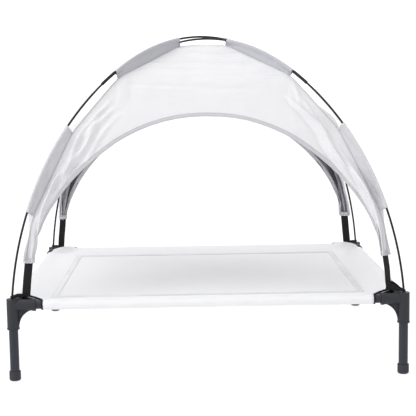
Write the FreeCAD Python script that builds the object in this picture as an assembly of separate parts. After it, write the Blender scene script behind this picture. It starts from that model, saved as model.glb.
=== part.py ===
import FreeCAD, Part

import math
import os

from FreeCAD import Vector

# Raised dog bed with a canopy. Millimetres, +Z up, front of the bed towards -Y.
# The origin is on the floor, below the middle of the bed.

# ---------------------------------------------------------------- bed frame
LEG_SPAN_X = 880.0          # between the axes of the left and right legs
LEG_SPAN_Y = 730.0          # between the axes of the front and rear legs
RAIL_Z = 173.0              # height of the rails' axes
RAIL_D = 19.0
RAIL_WALL = 1.2
RAIL_STOP = 12.0            # rail's end, from the leg's axis
LEG_D = 21.0
LEG_WALL = 1.2
LEG_SEAT_Z = 148.0          # top of the leg tube, in its socket

# ---------------------------------------------------------------- corner fitting
FITTING_D = 27.0
FITTING_BOTTOM_Z = 118.0
FITTING_TOP_Z = 187.5
FITTING_RIM_D = 28.4        # moulded rim round the lower mouth
FITTING_RIM_H = 3.5
FITTING_ROUND = 1.0
ARM_D = 26.0
ARM_LENGTH = 52.0           # from the leg's axis to the mouth of the arm
COLLAR_D = 28.0
COLLAR_LENGTH = 7.0
GUSSET_REACH = 43.0         # along the arm, from the leg's axis
GUSSET_BOTTOM_Z = 126.0
GUSSET_WEB = 4.0
GUSSET_RIM_W = 9.0
GUSSET_RIM_T = 2.2
GUSSET_SAG = 7.0            # how far the gusset's edge curves in from its chord
POLE_SOCKET_FLOOR_Z = 152.0
SOCKET_FLARE = 1.2          # countersink round the pole's socket
PUSH_CLEARANCE = 0.05       # radial, tube in socket
POLE_CLEARANCE = 0.10       # radial, pole in socket

# ---------------------------------------------------------------- foot
FOOT_D = 26.0
FOOT_H = 22.0
FOOT_SOLE = 4.0
FOOT_ROUND = 4.5
FOOT_LIP_ROUND = 0.8

# ---------------------------------------------------------------- bed cover
FABRIC_T = 1.2
SLEEVE_SLACK = 0.8          # between a rail and the fabric wrapped round it
SLEEVE_OUTER_D = RAIL_D + 2 * (SLEEVE_SLACK + FABRIC_T)
COVER_CUT = 67.0            # from the leg's axis to where a rail sleeve ends
POCKET_SEAM = 3.0           # width of the seam that closes a rail's pocket, along the tape
TAPE_INSET = 76.0           # from a rail's axis to the tape's outer edge
TAPE_W = 15.0
TAPE_T = 0.8
DECK_Z = 173.0              # top of the sheet inside the tape
BINDING_W = 3.0
BINDING_T = 2.6

# ---------------------------------------------------------------- poles
POLE_D = 5.0
POLE_BORE_D = 2.6
POLE_APEX_Z = 769.0         # axis of the lower pole where the two cross
POLE_CROSS_GAP = 0.2
POLE_BEND_R = 100.0         # short bend just above the socket
POLE_LEAN = 6.3             # degrees, lean just above that bend
POLE_SHOULDER = 58.81       # degrees from level, where the top's arc meets the side's
SHOCK_CORD_D = 2.0
TIP_LENGTH = 14.0
TIP_PLUG = 6.0              # length of the tip's plug inside the pole
TIP_ROUND = 1.0
FERRULE_D = 7.6
FERRULE_LENGTH = 45.0
FERRULE_AT = 315.0          # middle of the ferrule, along the pole from its apex
FERRULE_CLEARANCE = 0.05
SECTION_GAP = 0.4           # between the ends of two sections inside a ferrule

# ---------------------------------------------------------------- canopy
CANOPY_T = 1.2
APEX_DROP = 15.0            # from the lower pole's axis down to the fabric's top
UPPER_SLEEVE = (78.0, 290.0)        # start and end, along the pole from its apex
LOWER_SLEEVE = (475.0, 697.0)
UPPER_SLEEVE_W = 12.5       # from the lower pole's axis in to the seam, at the sleeve's ends
LOWER_SLEEVE_W = 17.5
SLEEVE_PLY = 1.6            # thickness of the flat part of a pole sleeve
SLEEVE_TUBE_D = 7.2         # where the sleeve wraps the pole
SLEEVE_LAP = 0.5            # depth of the flat part's edge in the wrap
CANOPY_LEG_IN = 34.0        # leg's bottom corner, in from the leg's axis along the diagonal
CANOPY_LEG_Z = 268.0
LEG_STRIP_W = 21.0          # width of each panel's strip at the leg's bottom
SEAM_SETBACK = 22.0         # rounding of the seam's corners
ARCH_TOP_Z = 587.0
ARCH_FOOT = 20.0            # the arch's outline goes on below the leg's bottom by this much
HEM_W = 9.0
HEM_T = 1.0

# The arch's control polygon: share of its half span, share of its drop, share of the half
# span by which each corner is rounded.
ARCH_SHAPE = ((0.0, 0.0, 0.0), (0.34, 0.0, 0.33), (0.78, 0.415, 0.18),
              (0.937, 0.695, 0.07), (1.0, 1.0, 0.0))

# ---------------------------------------------------------------- straps
STRAP_W = 20.0
STRAP_T = 1.6
STRAP_TOP_Z = 292.0
STRAP_STAND_OFF = 7.9       # from a strap's edge to the nearer panel, at the leg's bottom
STRAP_BOTTOM_IN = 41.0      # in from the leg's axis along the diagonal
STRAP_GAP = 0.6             # above the fitting
LOOP_H = 7.0
LOOP_T = 1.5
LOOP_INSIDE_W = 6.4

# ---------------------------------------------------------------- worked out
HALF_X = LEG_SPAN_X / 2
HALF_Y = LEG_SPAN_Y / 2
HALF_DIAGONAL = math.hypot(HALF_X, HALF_Y)
SHARE_X = HALF_X / HALF_DIAGONAL
SHARE_Y = HALF_Y / HALF_DIAGONAL
STRAP_TOP_IN = CANOPY_LEG_IN + (STRAP_W / 2 * max(SHARE_X, SHARE_Y) + STRAP_STAND_OFF) / min(SHARE_X, SHARE_Y)
CORNERS = {"front_left": (-1, -1), "front_right": (1, -1), "rear_left": (-1, 1), "rear_right": (1, 1)}
UP = Vector(0, 0, 1)
ORIGIN = Vector(0, 0, 0)
TOLERANCE = 1e-6
RUN_SHARE = 0.99            # most of a straight run that its two corners' setbacks may take


def export(name, shape):
    shape.exportStep("parts/" + name + ".step")


def fuse_all(shapes):
    """One shape from several that touch or overlap."""
    whole = shapes[0]
    for shape in shapes[1:]:
        whole = whole.fuse(shape)
    return whole.removeSplitter()


def place_on_corner(shape, corner):
    """Mirror a shape made for the rear right corner to another corner."""
    sign_x, sign_y = CORNERS[corner]
    if sign_x < 0:
        shape = shape.mirror(ORIGIN, Vector(1, 0, 0))
    if sign_y < 0:
        shape = shape.mirror(ORIGIN, Vector(0, 1, 0))
    return shape


def turn_to_diagonal(shape, corner):
    """Turn a shape made in the XZ plane, pointing along +X, out to a corner."""
    sign_x, sign_y = CORNERS[corner]
    angle = math.degrees(math.atan2(sign_y * HALF_Y, sign_x * HALF_X))
    turned = shape.copy()
    turned.rotate(ORIGIN, UP, angle)
    return turned


def rounded_path(points, setbacks):
    """Edges of a path through 2D points (XZ plane), each corner rounded by its setback."""
    vectors = [Vector(x, 0, z) for x, z in points]
    edges = []
    start = vectors[0]
    for before, corner, after, setback in zip(vectors, vectors[1:], vectors[2:], setbacks[1:-1]):
        into = (corner - before).normalize()
        out = (after - corner).normalize()
        arc_start = corner - into * setback
        arc_end = corner + out * setback
        half_turn = into.getAngle(out) / 2
        to_centre = (out - into).normalize()
        radius = setback / math.tan(half_turn)
        middle = corner + to_centre * (radius / math.cos(half_turn) - radius)
        if (arc_start - start).Length > TOLERANCE:
            edges.append(Part.LineSegment(start, arc_start).toShape())
        edges.append(Part.Arc(arc_start, middle, arc_end).toShape())
        start = arc_end
    edges.append(Part.LineSegment(start, vectors[-1]).toShape())
    return edges


def fitted_setbacks(points, setbacks):
    """Setbacks, shortened where two of them would not fit on the run between their corners."""
    fitted = list(setbacks)
    for index in range(len(points) - 1):
        run = math.dist(points[index], points[index + 1]) * RUN_SHARE
        taken = fitted[index] + fitted[index + 1]
        if taken > run:
            fitted[index] *= run / taken
            fitted[index + 1] *= run / taken
    return fitted


def polygon_face(points):
    return Part.Face(Part.makePolygon(list(points) + [points[0]]))


# ================================================================ bed frame
def gusset(reach, top_z, bottom_z):
    """Curved web and rim under an arm that runs along +X from the origin's vertical axis."""
    hide = ARM_D / 2                     # the web's hidden edges, inside the sleeve and the arm
    outer = Vector(reach, 0, top_z)
    lower = Vector(FITTING_D / 2, 0, bottom_z)
    chord_middle = (outer + lower) * 0.5
    inward = Vector(-(outer - lower).z, 0, (outer - lower).x).normalize()
    bulge = chord_middle + inward * GUSSET_SAG
    corner = Vector(hide / 2, 0, top_z + hide / 2)
    edge = Part.Arc(outer, bulge, lower)
    below_arm = Vector(outer.x, 0, corner.z)
    beside_sleeve = Vector(corner.x, 0, lower.z)
    outline = Part.Wire([
        edge.toShape(),
        Part.LineSegment(lower, beside_sleeve).toShape(),
        Part.LineSegment(beside_sleeve, corner).toShape(),
        Part.LineSegment(corner, below_arm).toShape(),
        Part.LineSegment(below_arm, outer).toShape()])
    web = Part.Face(outline).extrude(Vector(0, GUSSET_WEB, 0))
    web.translate(Vector(0, -GUSSET_WEB / 2, 0))
    shift = inward * GUSSET_RIM_T
    inner_edge = Part.Arc(outer + shift, bulge + shift, lower + shift)
    rim_outline = Part.Wire([
        edge.toShape(),
        Part.LineSegment(lower, lower + shift).toShape(),
        inner_edge.toShape(),
        Part.LineSegment(outer + shift, outer).toShape()])
    rim = Part.Face(rim_outline).extrude(Vector(0, GUSSET_RIM_W, 0))
    rim.translate(Vector(0, -GUSSET_RIM_W / 2, 0))
    return fuse_all([web, rim])


def fitting_arm(direction_angle):
    """Solid arm with its collar and gusset, turned about the vertical axis."""
    arm = Part.makeCylinder(ARM_D / 2, ARM_LENGTH, Vector(0, 0, RAIL_Z), Vector(1, 0, 0))
    collar = Part.makeCylinder(COLLAR_D / 2, COLLAR_LENGTH,
                               Vector(ARM_LENGTH - COLLAR_LENGTH, 0, RAIL_Z), Vector(1, 0, 0))
    rims = [edge for edge in collar.Edges if edge.Curve.TypeId == "Part::GeomCircle"]
    collar = collar.makeFillet((COLLAR_D - ARM_D) / 4, rims)
    brace = gusset(GUSSET_REACH, RAIL_Z - ARM_D / 2 + GUSSET_WEB / 2, GUSSET_BOTTOM_Z)
    whole = fuse_all([arm, collar, brace])
    whole.rotate(ORIGIN, UP, direction_angle)
    return whole


def corner_fitting():
    """Fitting for the rear right corner: its arms point towards -X and -Y."""
    height = FITTING_TOP_Z - FITTING_BOTTOM_Z
    sleeve = Part.makeCylinder(FITTING_D / 2, height, Vector(0, 0, FITTING_BOTTOM_Z), UP)
    top_edges = [edge for edge in sleeve.Edges if abs(edge.CenterOfMass.z - FITTING_TOP_Z) < TOLERANCE]
    sleeve = sleeve.makeFillet(FITTING_ROUND, top_edges)
    rim = Part.makeCylinder(FITTING_RIM_D / 2, FITTING_RIM_H, Vector(0, 0, FITTING_BOTTOM_Z), UP)
    body = fuse_all([sleeve, rim, fitting_arm(180), fitting_arm(270)])
    leg_socket = Part.makeCylinder(LEG_D / 2 + PUSH_CLEARANCE, LEG_SEAT_Z - FITTING_BOTTOM_Z,
                                   Vector(0, 0, FITTING_BOTTOM_Z), UP)
    bore_length = ARM_LENGTH - RAIL_STOP
    rail_socket_x = Part.makeCylinder(RAIL_D / 2 + PUSH_CLEARANCE, bore_length,
                                      Vector(-RAIL_STOP, 0, RAIL_Z), Vector(-1, 0, 0))
    rail_socket_y = Part.makeCylinder(RAIL_D / 2 + PUSH_CLEARANCE, bore_length,
                                      Vector(0, -RAIL_STOP, RAIL_Z), Vector(0, -1, 0))
    pole_radius = POLE_D / 2 + POLE_CLEARANCE
    pole_socket = Part.makeCylinder(pole_radius, FITTING_TOP_Z - POLE_SOCKET_FLOOR_Z,
                                    Vector(0, 0, POLE_SOCKET_FLOOR_Z), UP)
    flare = Part.makeCone(pole_radius, pole_radius + SOCKET_FLARE, SOCKET_FLARE,
                          Vector(0, 0, FITTING_TOP_Z - SOCKET_FLARE), UP)
    for hole in (leg_socket, rail_socket_x, rail_socket_y, pole_socket, flare):
        body = body.cut(hole)
    body.translate(Vector(HALF_X, HALF_Y, 0))
    return body


def tube(outer_d, wall, length, start, direction):
    outer = Part.makeCylinder(outer_d / 2, length, start, direction)
    inner = Part.makeCylinder(outer_d / 2 - wall, length, start, direction)
    return outer.cut(inner)


def leg_tube():
    return tube(LEG_D, LEG_WALL, LEG_SEAT_Z - FOOT_SOLE, Vector(HALF_X, HALF_Y, FOOT_SOLE), UP)


def foot():
    """Rubber cap: a rounded cup over the end of the leg tube."""
    body = Part.makeCylinder(FOOT_D / 2, FOOT_H, Vector(HALF_X, HALF_Y, 0), UP)
    bottom = [edge for edge in body.Edges if abs(edge.CenterOfMass.z) < TOLERANCE]
    body = body.makeFillet(FOOT_ROUND, bottom)
    top = [edge for edge in body.Edges if abs(edge.CenterOfMass.z - FOOT_H) < TOLERANCE]
    body = body.makeFillet(FOOT_LIP_ROUND, top)
    cup = Part.makeCylinder(LEG_D / 2 + PUSH_CLEARANCE, FOOT_H - FOOT_SOLE,
                            Vector(HALF_X, HALF_Y, FOOT_SOLE), UP)
    return body.cut(cup)


def rail_along_x(y):
    length = LEG_SPAN_X - 2 * RAIL_STOP
    return tube(RAIL_D, RAIL_WALL, length, Vector(-length / 2, y, RAIL_Z), Vector(1, 0, 0))


def rail_along_y(x):
    length = LEG_SPAN_Y - 2 * RAIL_STOP
    return tube(RAIL_D, RAIL_WALL, length, Vector(x, -length / 2, RAIL_Z), Vector(0, 1, 0))


# ================================================================ bed cover
def pocket_outline(radius, tip_x, tip_low, tip_high):
    """Wire in the XZ plane: a circle about the rail's axis drawn out to a tip on the +X side."""
    centre = Vector(0, 0, RAIL_Z)

    def tangent_point(tip, upper):
        to_tip = tip - centre
        base = math.atan2(to_tip.z, to_tip.x)
        spread = math.acos(radius / to_tip.Length)
        angle = base + spread if upper else base - spread
        return centre + Vector(radius * math.cos(angle), 0, radius * math.sin(angle))

    high = Vector(tip_x, 0, tip_high)
    low = Vector(tip_x, 0, tip_low)
    top = tangent_point(high, True)
    bottom = tangent_point(low, False)
    back = centre - Vector(radius, 0, 0)
    edges = [Part.LineSegment(high, top).toShape(),
             Part.Arc(top, back, bottom).toShape(),
             Part.LineSegment(bottom, low).toShape()]
    if tip_high - tip_low > TOLERANCE:
        edges.append(Part.LineSegment(low, high).toShape())
    return Part.Wire(edges)


def rail_sleeve(half_rail, half_other):
    """Pocket of cover fabric round a rail that runs along Y at X = -half_other.

    half_rail is half the distance between the legs at the rail's ends.
    """
    outer_radius = SLEEVE_OUTER_D / 2
    outer = pocket_outline(outer_radius, TAPE_INSET, DECK_Z - 2 * FABRIC_T, DECK_Z)
    hollow = pocket_outline(outer_radius - FABRIC_T, TAPE_INSET - POCKET_SEAM,
                            DECK_Z - FABRIC_T, DECK_Z - FABRIC_T)
    length = 2 * half_rail
    section = Part.Face(outer).cut(Part.Face(hollow))
    pocket = section.extrude(Vector(0, length, 0))
    pocket.translate(Vector(-half_other, -half_rail, 0))
    inner_x = -half_other + TAPE_INSET
    inner_y = half_rail - TAPE_INSET
    far_x = -half_other - SLEEVE_OUTER_D
    end_y = half_rail - COVER_CUT
    plan = [Vector(inner_x, inner_y, 0), Vector(-half_other, end_y, 0), Vector(far_x, end_y, 0),
            Vector(far_x, -end_y, 0), Vector(-half_other, -end_y, 0), Vector(inner_x, -inner_y, 0)]
    height = RAIL_Z + SLEEVE_OUTER_D
    return pocket.common(polygon_face(plan).extrude(Vector(0, 0, height)))


def cover_corner():
    """Flat triangle of cover fabric at the left rear, from the tape's corner to the cut edge."""
    top_z = RAIL_Z + SLEEVE_OUTER_D / 2
    tape_corner = Vector(TAPE_INSET - HALF_X, HALF_Y - TAPE_INSET, DECK_Z)
    on_side_rail = Vector(-HALF_X, HALF_Y - COVER_CUT, top_z)
    on_end_rail = Vector(COVER_CUT - HALF_X, HALF_Y, top_z)
    triangle = polygon_face([tape_corner, on_side_rail, on_end_rail])
    return triangle.extrude(Vector(0, 0, -FABRIC_T))


def rail_sleeves():
    corner = cover_corner()
    corners = [corner, corner.mirror(ORIGIN, Vector(0, 1, 0))]
    left = fuse_all([rail_sleeve(HALF_Y, HALF_X)] + corners)
    right = left.copy()
    right.rotate(ORIGIN, UP, 180)
    front = rail_sleeve(HALF_X, HALF_Y)
    front.rotate(ORIGIN, UP, 90)
    rear = front.copy()
    rear.rotate(ORIGIN, UP, 180)
    return {"left": left, "right": right, "front": front, "rear": rear}


def deck_sheet():
    size_x = LEG_SPAN_X - 2 * TAPE_INSET
    size_y = LEG_SPAN_Y - 2 * TAPE_INSET
    return Part.makeBox(size_x, size_y, FABRIC_T, Vector(-size_x / 2, -size_y / 2, DECK_Z - FABRIC_T))


def deck_tape():
    size_x = LEG_SPAN_X - 2 * TAPE_INSET
    size_y = LEG_SPAN_Y - 2 * TAPE_INSET
    outer = Part.makeBox(size_x, size_y, TAPE_T, Vector(-size_x / 2, -size_y / 2, DECK_Z))
    inner = Part.makeBox(size_x - 2 * TAPE_W, size_y - 2 * TAPE_W, TAPE_T,
                         Vector(-size_x / 2 + TAPE_W, -size_y / 2 + TAPE_W, DECK_Z))
    return outer.cut(inner)


def binding_bar(start, end, outward):
    """Bar of binding from start to end, standing outward from the cut edge."""
    along = end - start
    drop = UP * (BINDING_T / 2)
    corners = [start - drop, start + outward * BINDING_W - drop,
               start + outward * BINDING_W + drop, start + drop]
    return polygon_face(corners).extrude(along)


def corner_binding():
    """Binding round the cut corner of the cover, rear right: a bar and a ring on each rail."""
    top_z = RAIL_Z + SLEEVE_OUTER_D / 2 - FABRIC_T / 2
    end_x = HALF_X - COVER_CUT
    end_y = HALF_Y - COVER_CUT
    outward = Vector(1, 1, 0).normalize()
    bar = binding_bar(Vector(end_x, HALF_Y, top_z), Vector(HALF_X, end_y, top_z), outward)
    ring_d = SLEEVE_OUTER_D - 2 * FABRIC_T
    ring_wall = (ring_d - RAIL_D) / 2 - PUSH_CLEARANCE
    ring_x = tube(ring_d, ring_wall, BINDING_W, Vector(end_x, HALF_Y, RAIL_Z), Vector(1, 0, 0))
    ring_y = tube(ring_d, ring_wall, BINDING_W, Vector(HALF_X, end_y, RAIL_Z), Vector(0, 1, 0))
    return fuse_all([bar, ring_x, ring_y])


# ================================================================ poles
class PolePath:
    """One half of a bent pole in the XZ plane, from its apex at X = 0 down to its socket.

    It is made of tangent arcs: the top, the side, and a short bend above the straight end.
    Headings are measured from the vertical, in radians.
    """

    def __init__(self, apex_z):
        lean = math.radians(POLE_LEAN)
        across = HALF_DIAGONAL - POLE_BEND_R * (1 - math.cos(lean))
        rise = apex_z - FITTING_TOP_Z - POLE_BEND_R * math.sin(lean)
        shoulder = math.radians(POLE_SHOULDER)
        chord = math.tan((shoulder + lean) / 2)
        top_r = (across - chord * rise) / (math.cos(lean) - chord * (1 - math.sin(lean)))
        spare_rise = rise - top_r * (1 - math.sin(lean))
        side_r = top_r + spare_rise / (math.sin(shoulder) - math.sin(lean))
        top_centre = (0.0, apex_z - top_r)
        side_centre = (top_centre[0] - (side_r - top_r) * math.cos(shoulder),
                       top_centre[1] - (side_r - top_r) * math.sin(shoulder))
        bend_centre = (HALF_DIAGONAL - POLE_BEND_R, FITTING_TOP_Z)
        self.arcs = ((top_centre, top_r, math.pi / 2, shoulder),
                     (side_centre, side_r, shoulder, lean),
                     (bend_centre, POLE_BEND_R, lean, 0.0))
        self.length = sum(radius * (first - last) for _, radius, first, last in self.arcs)

    def at(self, distance):
        """Point on the axis and unit normal towards the inside, at a distance from the apex."""
        for centre, radius, first, last in self.arcs:
            arc_length = radius * (first - last)
            if distance <= arc_length + TOLERANCE:
                heading = first - distance / radius
                out = Vector(math.cos(heading), 0, math.sin(heading))
                return Vector(centre[0], 0, centre[1]) + out * radius, out * -1
            distance -= arc_length
        raise ValueError("beyond the end of the bent pole")

    def spans(self, start, end):
        """The stretches of arc between two distances: centre, radius, first and last heading."""
        travelled = 0.0
        found = []
        for centre, radius, first, last in self.arcs:
            arc_length = radius * (first - last)
            low = max(start, travelled)
            high = min(end, travelled + arc_length)
            if high - low > TOLERANCE:
                found.append((centre, radius, first - (low - travelled) / radius,
                              first - (high - travelled) / radius))
            travelled += arc_length
        return found


def swept_arc(span, outer_radius, inner_radius):
    """Round rod or tube along a stretch of arc."""
    centre, radius, first, last = span
    middle = Vector(centre[0] + radius * math.cos(first), 0, centre[1] + radius * math.sin(first))
    heading = Vector(math.sin(first), 0, -math.cos(first))
    section = Part.Face(Part.Wire(Part.makeCircle(outer_radius, middle, heading)))
    if inner_radius > 0:
        section = section.cut(Part.Face(Part.Wire(Part.makeCircle(inner_radius, middle, heading))))
    return section.revolve(Vector(centre[0], 0, centre[1]), Vector(0, 1, 0), math.degrees(first - last))


def half_rod(path, start, end, outer_radius, inner_radius=0.0):
    """Pieces of rod or tube along one half of a pole."""
    return [swept_arc(span, outer_radius, inner_radius) for span in path.spans(start, end)]


def straight_end(outer_radius, inner_radius, bottom_z):
    """Vertical end of a pole, from the bend down into its socket."""
    length = FITTING_TOP_Z - bottom_z
    start = Vector(HALF_DIAGONAL, 0, bottom_z)
    rod = Part.makeCylinder(outer_radius, length, start, UP)
    if inner_radius > 0:
        rod = rod.cut(Part.makeCylinder(inner_radius, length, start, UP))
    return rod


def mirrored_half(shapes):
    """The same pieces on the other half of the pole."""
    return [shape.mirror(ORIGIN, Vector(1, 0, 0)) for shape in shapes]


def end_section(path):
    """Lower section of a pole: from the middle of the ferrule down to the tip."""
    pieces = half_rod(path, FERRULE_AT + SECTION_GAP / 2, path.length, POLE_D / 2, POLE_BORE_D / 2)
    pieces.append(straight_end(POLE_D / 2, POLE_BORE_D / 2, POLE_SOCKET_FLOOR_Z + TIP_LENGTH))
    return fuse_all(pieces)


def top_section(path):
    """Middle section of a pole, over the apex from ferrule to ferrule."""
    half = half_rod(path, 0.0, FERRULE_AT - SECTION_GAP / 2, POLE_D / 2, POLE_BORE_D / 2)
    return fuse_all(half + mirrored_half(half))


def shock_cord(path):
    half = half_rod(path, 0.0, path.length, SHOCK_CORD_D / 2)
    half.append(straight_end(SHOCK_CORD_D / 2, 0.0, POLE_SOCKET_FLOOR_Z + TIP_LENGTH + TIP_PLUG))
    return fuse_all(half + mirrored_half(half))


def ferrule(path):
    pieces = half_rod(path, FERRULE_AT - FERRULE_LENGTH / 2, FERRULE_AT + FERRULE_LENGTH / 2,
                      FERRULE_D / 2, POLE_D / 2 + FERRULE_CLEARANCE)
    return fuse_all(pieces)


def pole_tip():
    """Metal tip: a rounded end with a plug up inside the pole."""
    body = Part.makeCylinder(POLE_D / 2, TIP_LENGTH, Vector(HALF_DIAGONAL, 0, POLE_SOCKET_FLOOR_Z), UP)
    bottom = [edge for edge in body.Edges if abs(edge.CenterOfMass.z - POLE_SOCKET_FLOOR_Z) < TOLERANCE]
    body = body.makeFillet(TIP_ROUND, bottom)
    plug = Part.makeCylinder(POLE_BORE_D / 2 - FERRULE_CLEARANCE, TIP_PLUG,
                             Vector(HALF_DIAGONAL, 0, POLE_SOCKET_FLOOR_Z + TIP_LENGTH), UP)
    return fuse_all([body, plug])


# ================================================================ canopy
def seam_points(path):
    """Corners of the ridge seam, out along the diagonal and up, apex first."""
    points = [Vector(0, 0, POLE_APEX_Z - APEX_DROP)]
    widths = ((UPPER_SLEEVE, UPPER_SLEEVE_W), (LOWER_SLEEVE, LOWER_SLEEVE_W))
    for (start, end), width in widths:
        for distance in (start, end):
            on_pole, inward = path.at(distance)
            points.append(on_pole + inward * width)
    points.append(Vector(HALF_DIAGONAL - CANOPY_LEG_IN, 0, CANOPY_LEG_Z))
    return points


def offset_polyline(points, distance):
    """Points moved in by a distance, square to the path, with mitred corners."""
    moved = []
    for index, point in enumerate(points):
        before = points[max(index - 1, 0)]
        after = points[min(index + 1, len(points) - 1)]
        into = (point - before) if index > 0 else (after - point)
        out = (after - point) if index < len(points) - 1 else into
        normal_in = Vector(into.z, 0, -into.x).normalize()
        normal_out = Vector(out.z, 0, -out.x).normalize()
        mitre = (normal_in + normal_out).normalize()
        moved.append(point + mitre * (distance / mitre.dot(normal_in)))
    moved[0] = Vector(points[0].x, 0, moved[0].z)
    return moved


def shell_strip(seam, depth_share, outer_offset, inner_offset, half_width):
    """Fabric of one panel before it is trimmed, from one offset of the seam's profile to another.

    The panel faces -Y: its profile lies in the YZ plane and runs along X.
    """
    profile = [Vector(point.x * depth_share, 0, point.z) for point in seam]
    setbacks = [0.0] + [SEAM_SETBACK] * (len(seam) - 2) + [0.0]
    setbacks[-2] = min(SEAM_SETBACK, (profile[-1] - profile[-2]).Length / 2)
    outer = [(point.x, point.z) for point in offset_polyline(profile, outer_offset)]
    inner = [(point.x, point.z) for point in offset_polyline(profile, inner_offset)]
    edges = rounded_path(outer, setbacks)
    edges.append(Part.makeLine(Vector(outer[-1][0], 0, outer[-1][1]), Vector(inner[-1][0], 0, inner[-1][1])))
    edges += rounded_path(inner[::-1], setbacks)
    edges.append(Part.makeLine(Vector(inner[0][0], 0, inner[0][1]), Vector(outer[0][0], 0, outer[0][1])))
    face = Part.Face(Part.Wire(Part.__sortEdges__(edges)))
    solid = face.extrude(Vector(0, 2 * half_width, 0))
    solid.translate(Vector(0, -half_width, 0))
    solid.rotate(ORIGIN, UP, 270)
    return solid


def wedge(depth_share, width_share):
    """Prism over the quarter of the bed that one panel covers, facing -Y."""
    reach = HALF_DIAGONAL
    plan = [ORIGIN, Vector(-reach * width_share, -reach * depth_share, 0),
            Vector(reach * width_share, -reach * depth_share, 0)]
    return polygon_face(plan).extrude(Vector(0, 0, POLE_APEX_Z + POLE_D))


def arch_prism(half_span, grow):
    """Arch-shaped prism along Y, its outline grown by a margin."""
    drop = ARCH_TOP_Z - CANOPY_LEG_Z
    half = [((half_span + grow) * across, ARCH_TOP_Z + grow - (drop + grow) * down)
            for across, down, _ in ARCH_SHAPE]
    setbacks = [rounding * half_span for _, _, rounding in ARCH_SHAPE]
    right = rounded_path(half, fitted_setbacks(half, setbacks))
    left = [edge.mirror(ORIGIN, Vector(1, 0, 0)) for edge in right]
    foot_x, foot_z = half[-1]
    below = [Vector(foot_x, 0, foot_z), Vector(foot_x, 0, foot_z - ARCH_FOOT),
             Vector(-foot_x, 0, foot_z - ARCH_FOOT), Vector(-foot_x, 0, foot_z)]
    edges = right + left + [Part.makeLine(start, end) for start, end in zip(below, below[1:])]
    outline = Part.Wire(Part.__sortEdges__(edges))
    prism = Part.Face(outline).extrude(Vector(0, HALF_DIAGONAL, 0))
    prism.translate(Vector(0, -HALF_DIAGONAL, 0))
    return prism


def canopy_side(depth_share, width_share, seam):
    """One panel and its arch hem, facing -Y."""
    half_width = seam[-1].x * width_share
    half_span = half_width - LEG_STRIP_W
    quarter = wedge(depth_share, width_share)
    opening = arch_prism(half_span, 0.0)
    fabric = shell_strip(seam, depth_share, 0.0, CANOPY_T, HALF_DIAGONAL)
    panel = fabric.common(quarter).cut(opening)
    folded = shell_strip(seam, depth_share, CANOPY_T, CANOPY_T + HEM_T, HALF_DIAGONAL)
    hem = folded.common(quarter).common(arch_prism(half_span, HEM_W)).cut(opening)
    return panel, hem


def pole_sleeve(path, seam_path, stretch):
    """Flat sleeve between a pole and the ridge seam, wrapped round the pole at its edge."""
    start, end = stretch
    wrap = half_rod(path, start, end, SLEEVE_TUBE_D / 2, POLE_D / 2 + FERRULE_CLEARANCE)
    width = UPPER_SLEEVE_W if stretch == UPPER_SLEEVE else LOWER_SLEEVE_W
    corners = []
    for distance in (start, end):
        on_pole, inward = seam_path.at(distance)
        corners.append(on_pole + inward * width)
    in_wrap = SLEEVE_TUBE_D / 2 - SLEEVE_LAP
    edges = []
    for centre, radius, first, last in path.spans(start, end):
        points = []
        for heading in (first, (first + last) / 2, last):
            out = Vector(math.cos(heading), 0, math.sin(heading))
            points.append(Vector(centre[0], 0, centre[1]) + out * (radius - in_wrap))
        edges.append(Part.Arc(*points).toShape())
    first_point = edges[0].Vertexes[0].Point
    last_point = edges[-1].Vertexes[-1].Point
    edges.append(Part.makeLine(last_point, corners[1]))
    edges.append(Part.makeLine(corners[1], corners[0]))
    edges.append(Part.makeLine(corners[0], first_point))
    web = Part.Face(Part.Wire(Part.__sortEdges__(edges))).extrude(Vector(0, SLEEVE_PLY, 0))
    web.translate(Vector(0, -SLEEVE_PLY / 2, 0))
    return fuse_all(wrap + [web])


# ================================================================ straps
def strap():
    """Webbing strap in the XZ plane's frame, with a loop round the foot of the pole."""
    loop_bottom = FITTING_TOP_Z + STRAP_GAP
    top = Vector(HALF_DIAGONAL - STRAP_TOP_IN, 0, STRAP_TOP_Z)
    bottom = Vector(HALF_DIAGONAL - STRAP_BOTTOM_IN, 0, loop_bottom)
    thick = Vector(STRAP_T, 0, 0)
    band = polygon_face([top, bottom, bottom + thick, top + thick]).extrude(Vector(0, STRAP_W, 0))
    band.translate(Vector(0, -STRAP_W / 2, 0))
    inside = LOOP_INSIDE_W / 2
    far = HALF_DIAGONAL
    near = bottom.x + STRAP_T / 2
    length = far - near
    outer = Part.makeBox(length, 2 * (inside + LOOP_T), LOOP_H,
                         Vector(near, -inside - LOOP_T, loop_bottom))
    outer = outer.fuse(Part.makeCylinder(inside + LOOP_T, LOOP_H, Vector(far, 0, loop_bottom), UP))
    hollow = Part.makeBox(length - STRAP_T, 2 * inside, LOOP_H,
                          Vector(near + STRAP_T, -inside, loop_bottom))
    hollow = hollow.fuse(Part.makeCylinder(inside, LOOP_H, Vector(far, 0, loop_bottom), UP))
    loop = outer.cut(hollow)
    return fuse_all([band, loop])


# ================================================================ build
def build_frame():
    fitting = corner_fitting()
    leg = leg_tube()
    cap = foot()
    binding = corner_binding()
    for corner in CORNERS:
        export("corner_fitting_" + corner, place_on_corner(fitting, corner))
        export("leg_tube_" + corner, place_on_corner(leg, corner))
        export("foot_" + corner, place_on_corner(cap, corner))
        export("corner_binding_" + corner, place_on_corner(binding, corner))
    export("rail_front", rail_along_x(-HALF_Y))
    export("rail_rear", rail_along_x(HALF_Y))
    export("rail_left", rail_along_y(-HALF_X))
    export("rail_right", rail_along_y(HALF_X))


def build_cover():
    export("deck_sheet", deck_sheet())
    export("deck_tape", deck_tape())
    for side, shape in rail_sleeves().items():
        export("rail_sleeve_" + side, shape)


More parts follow.
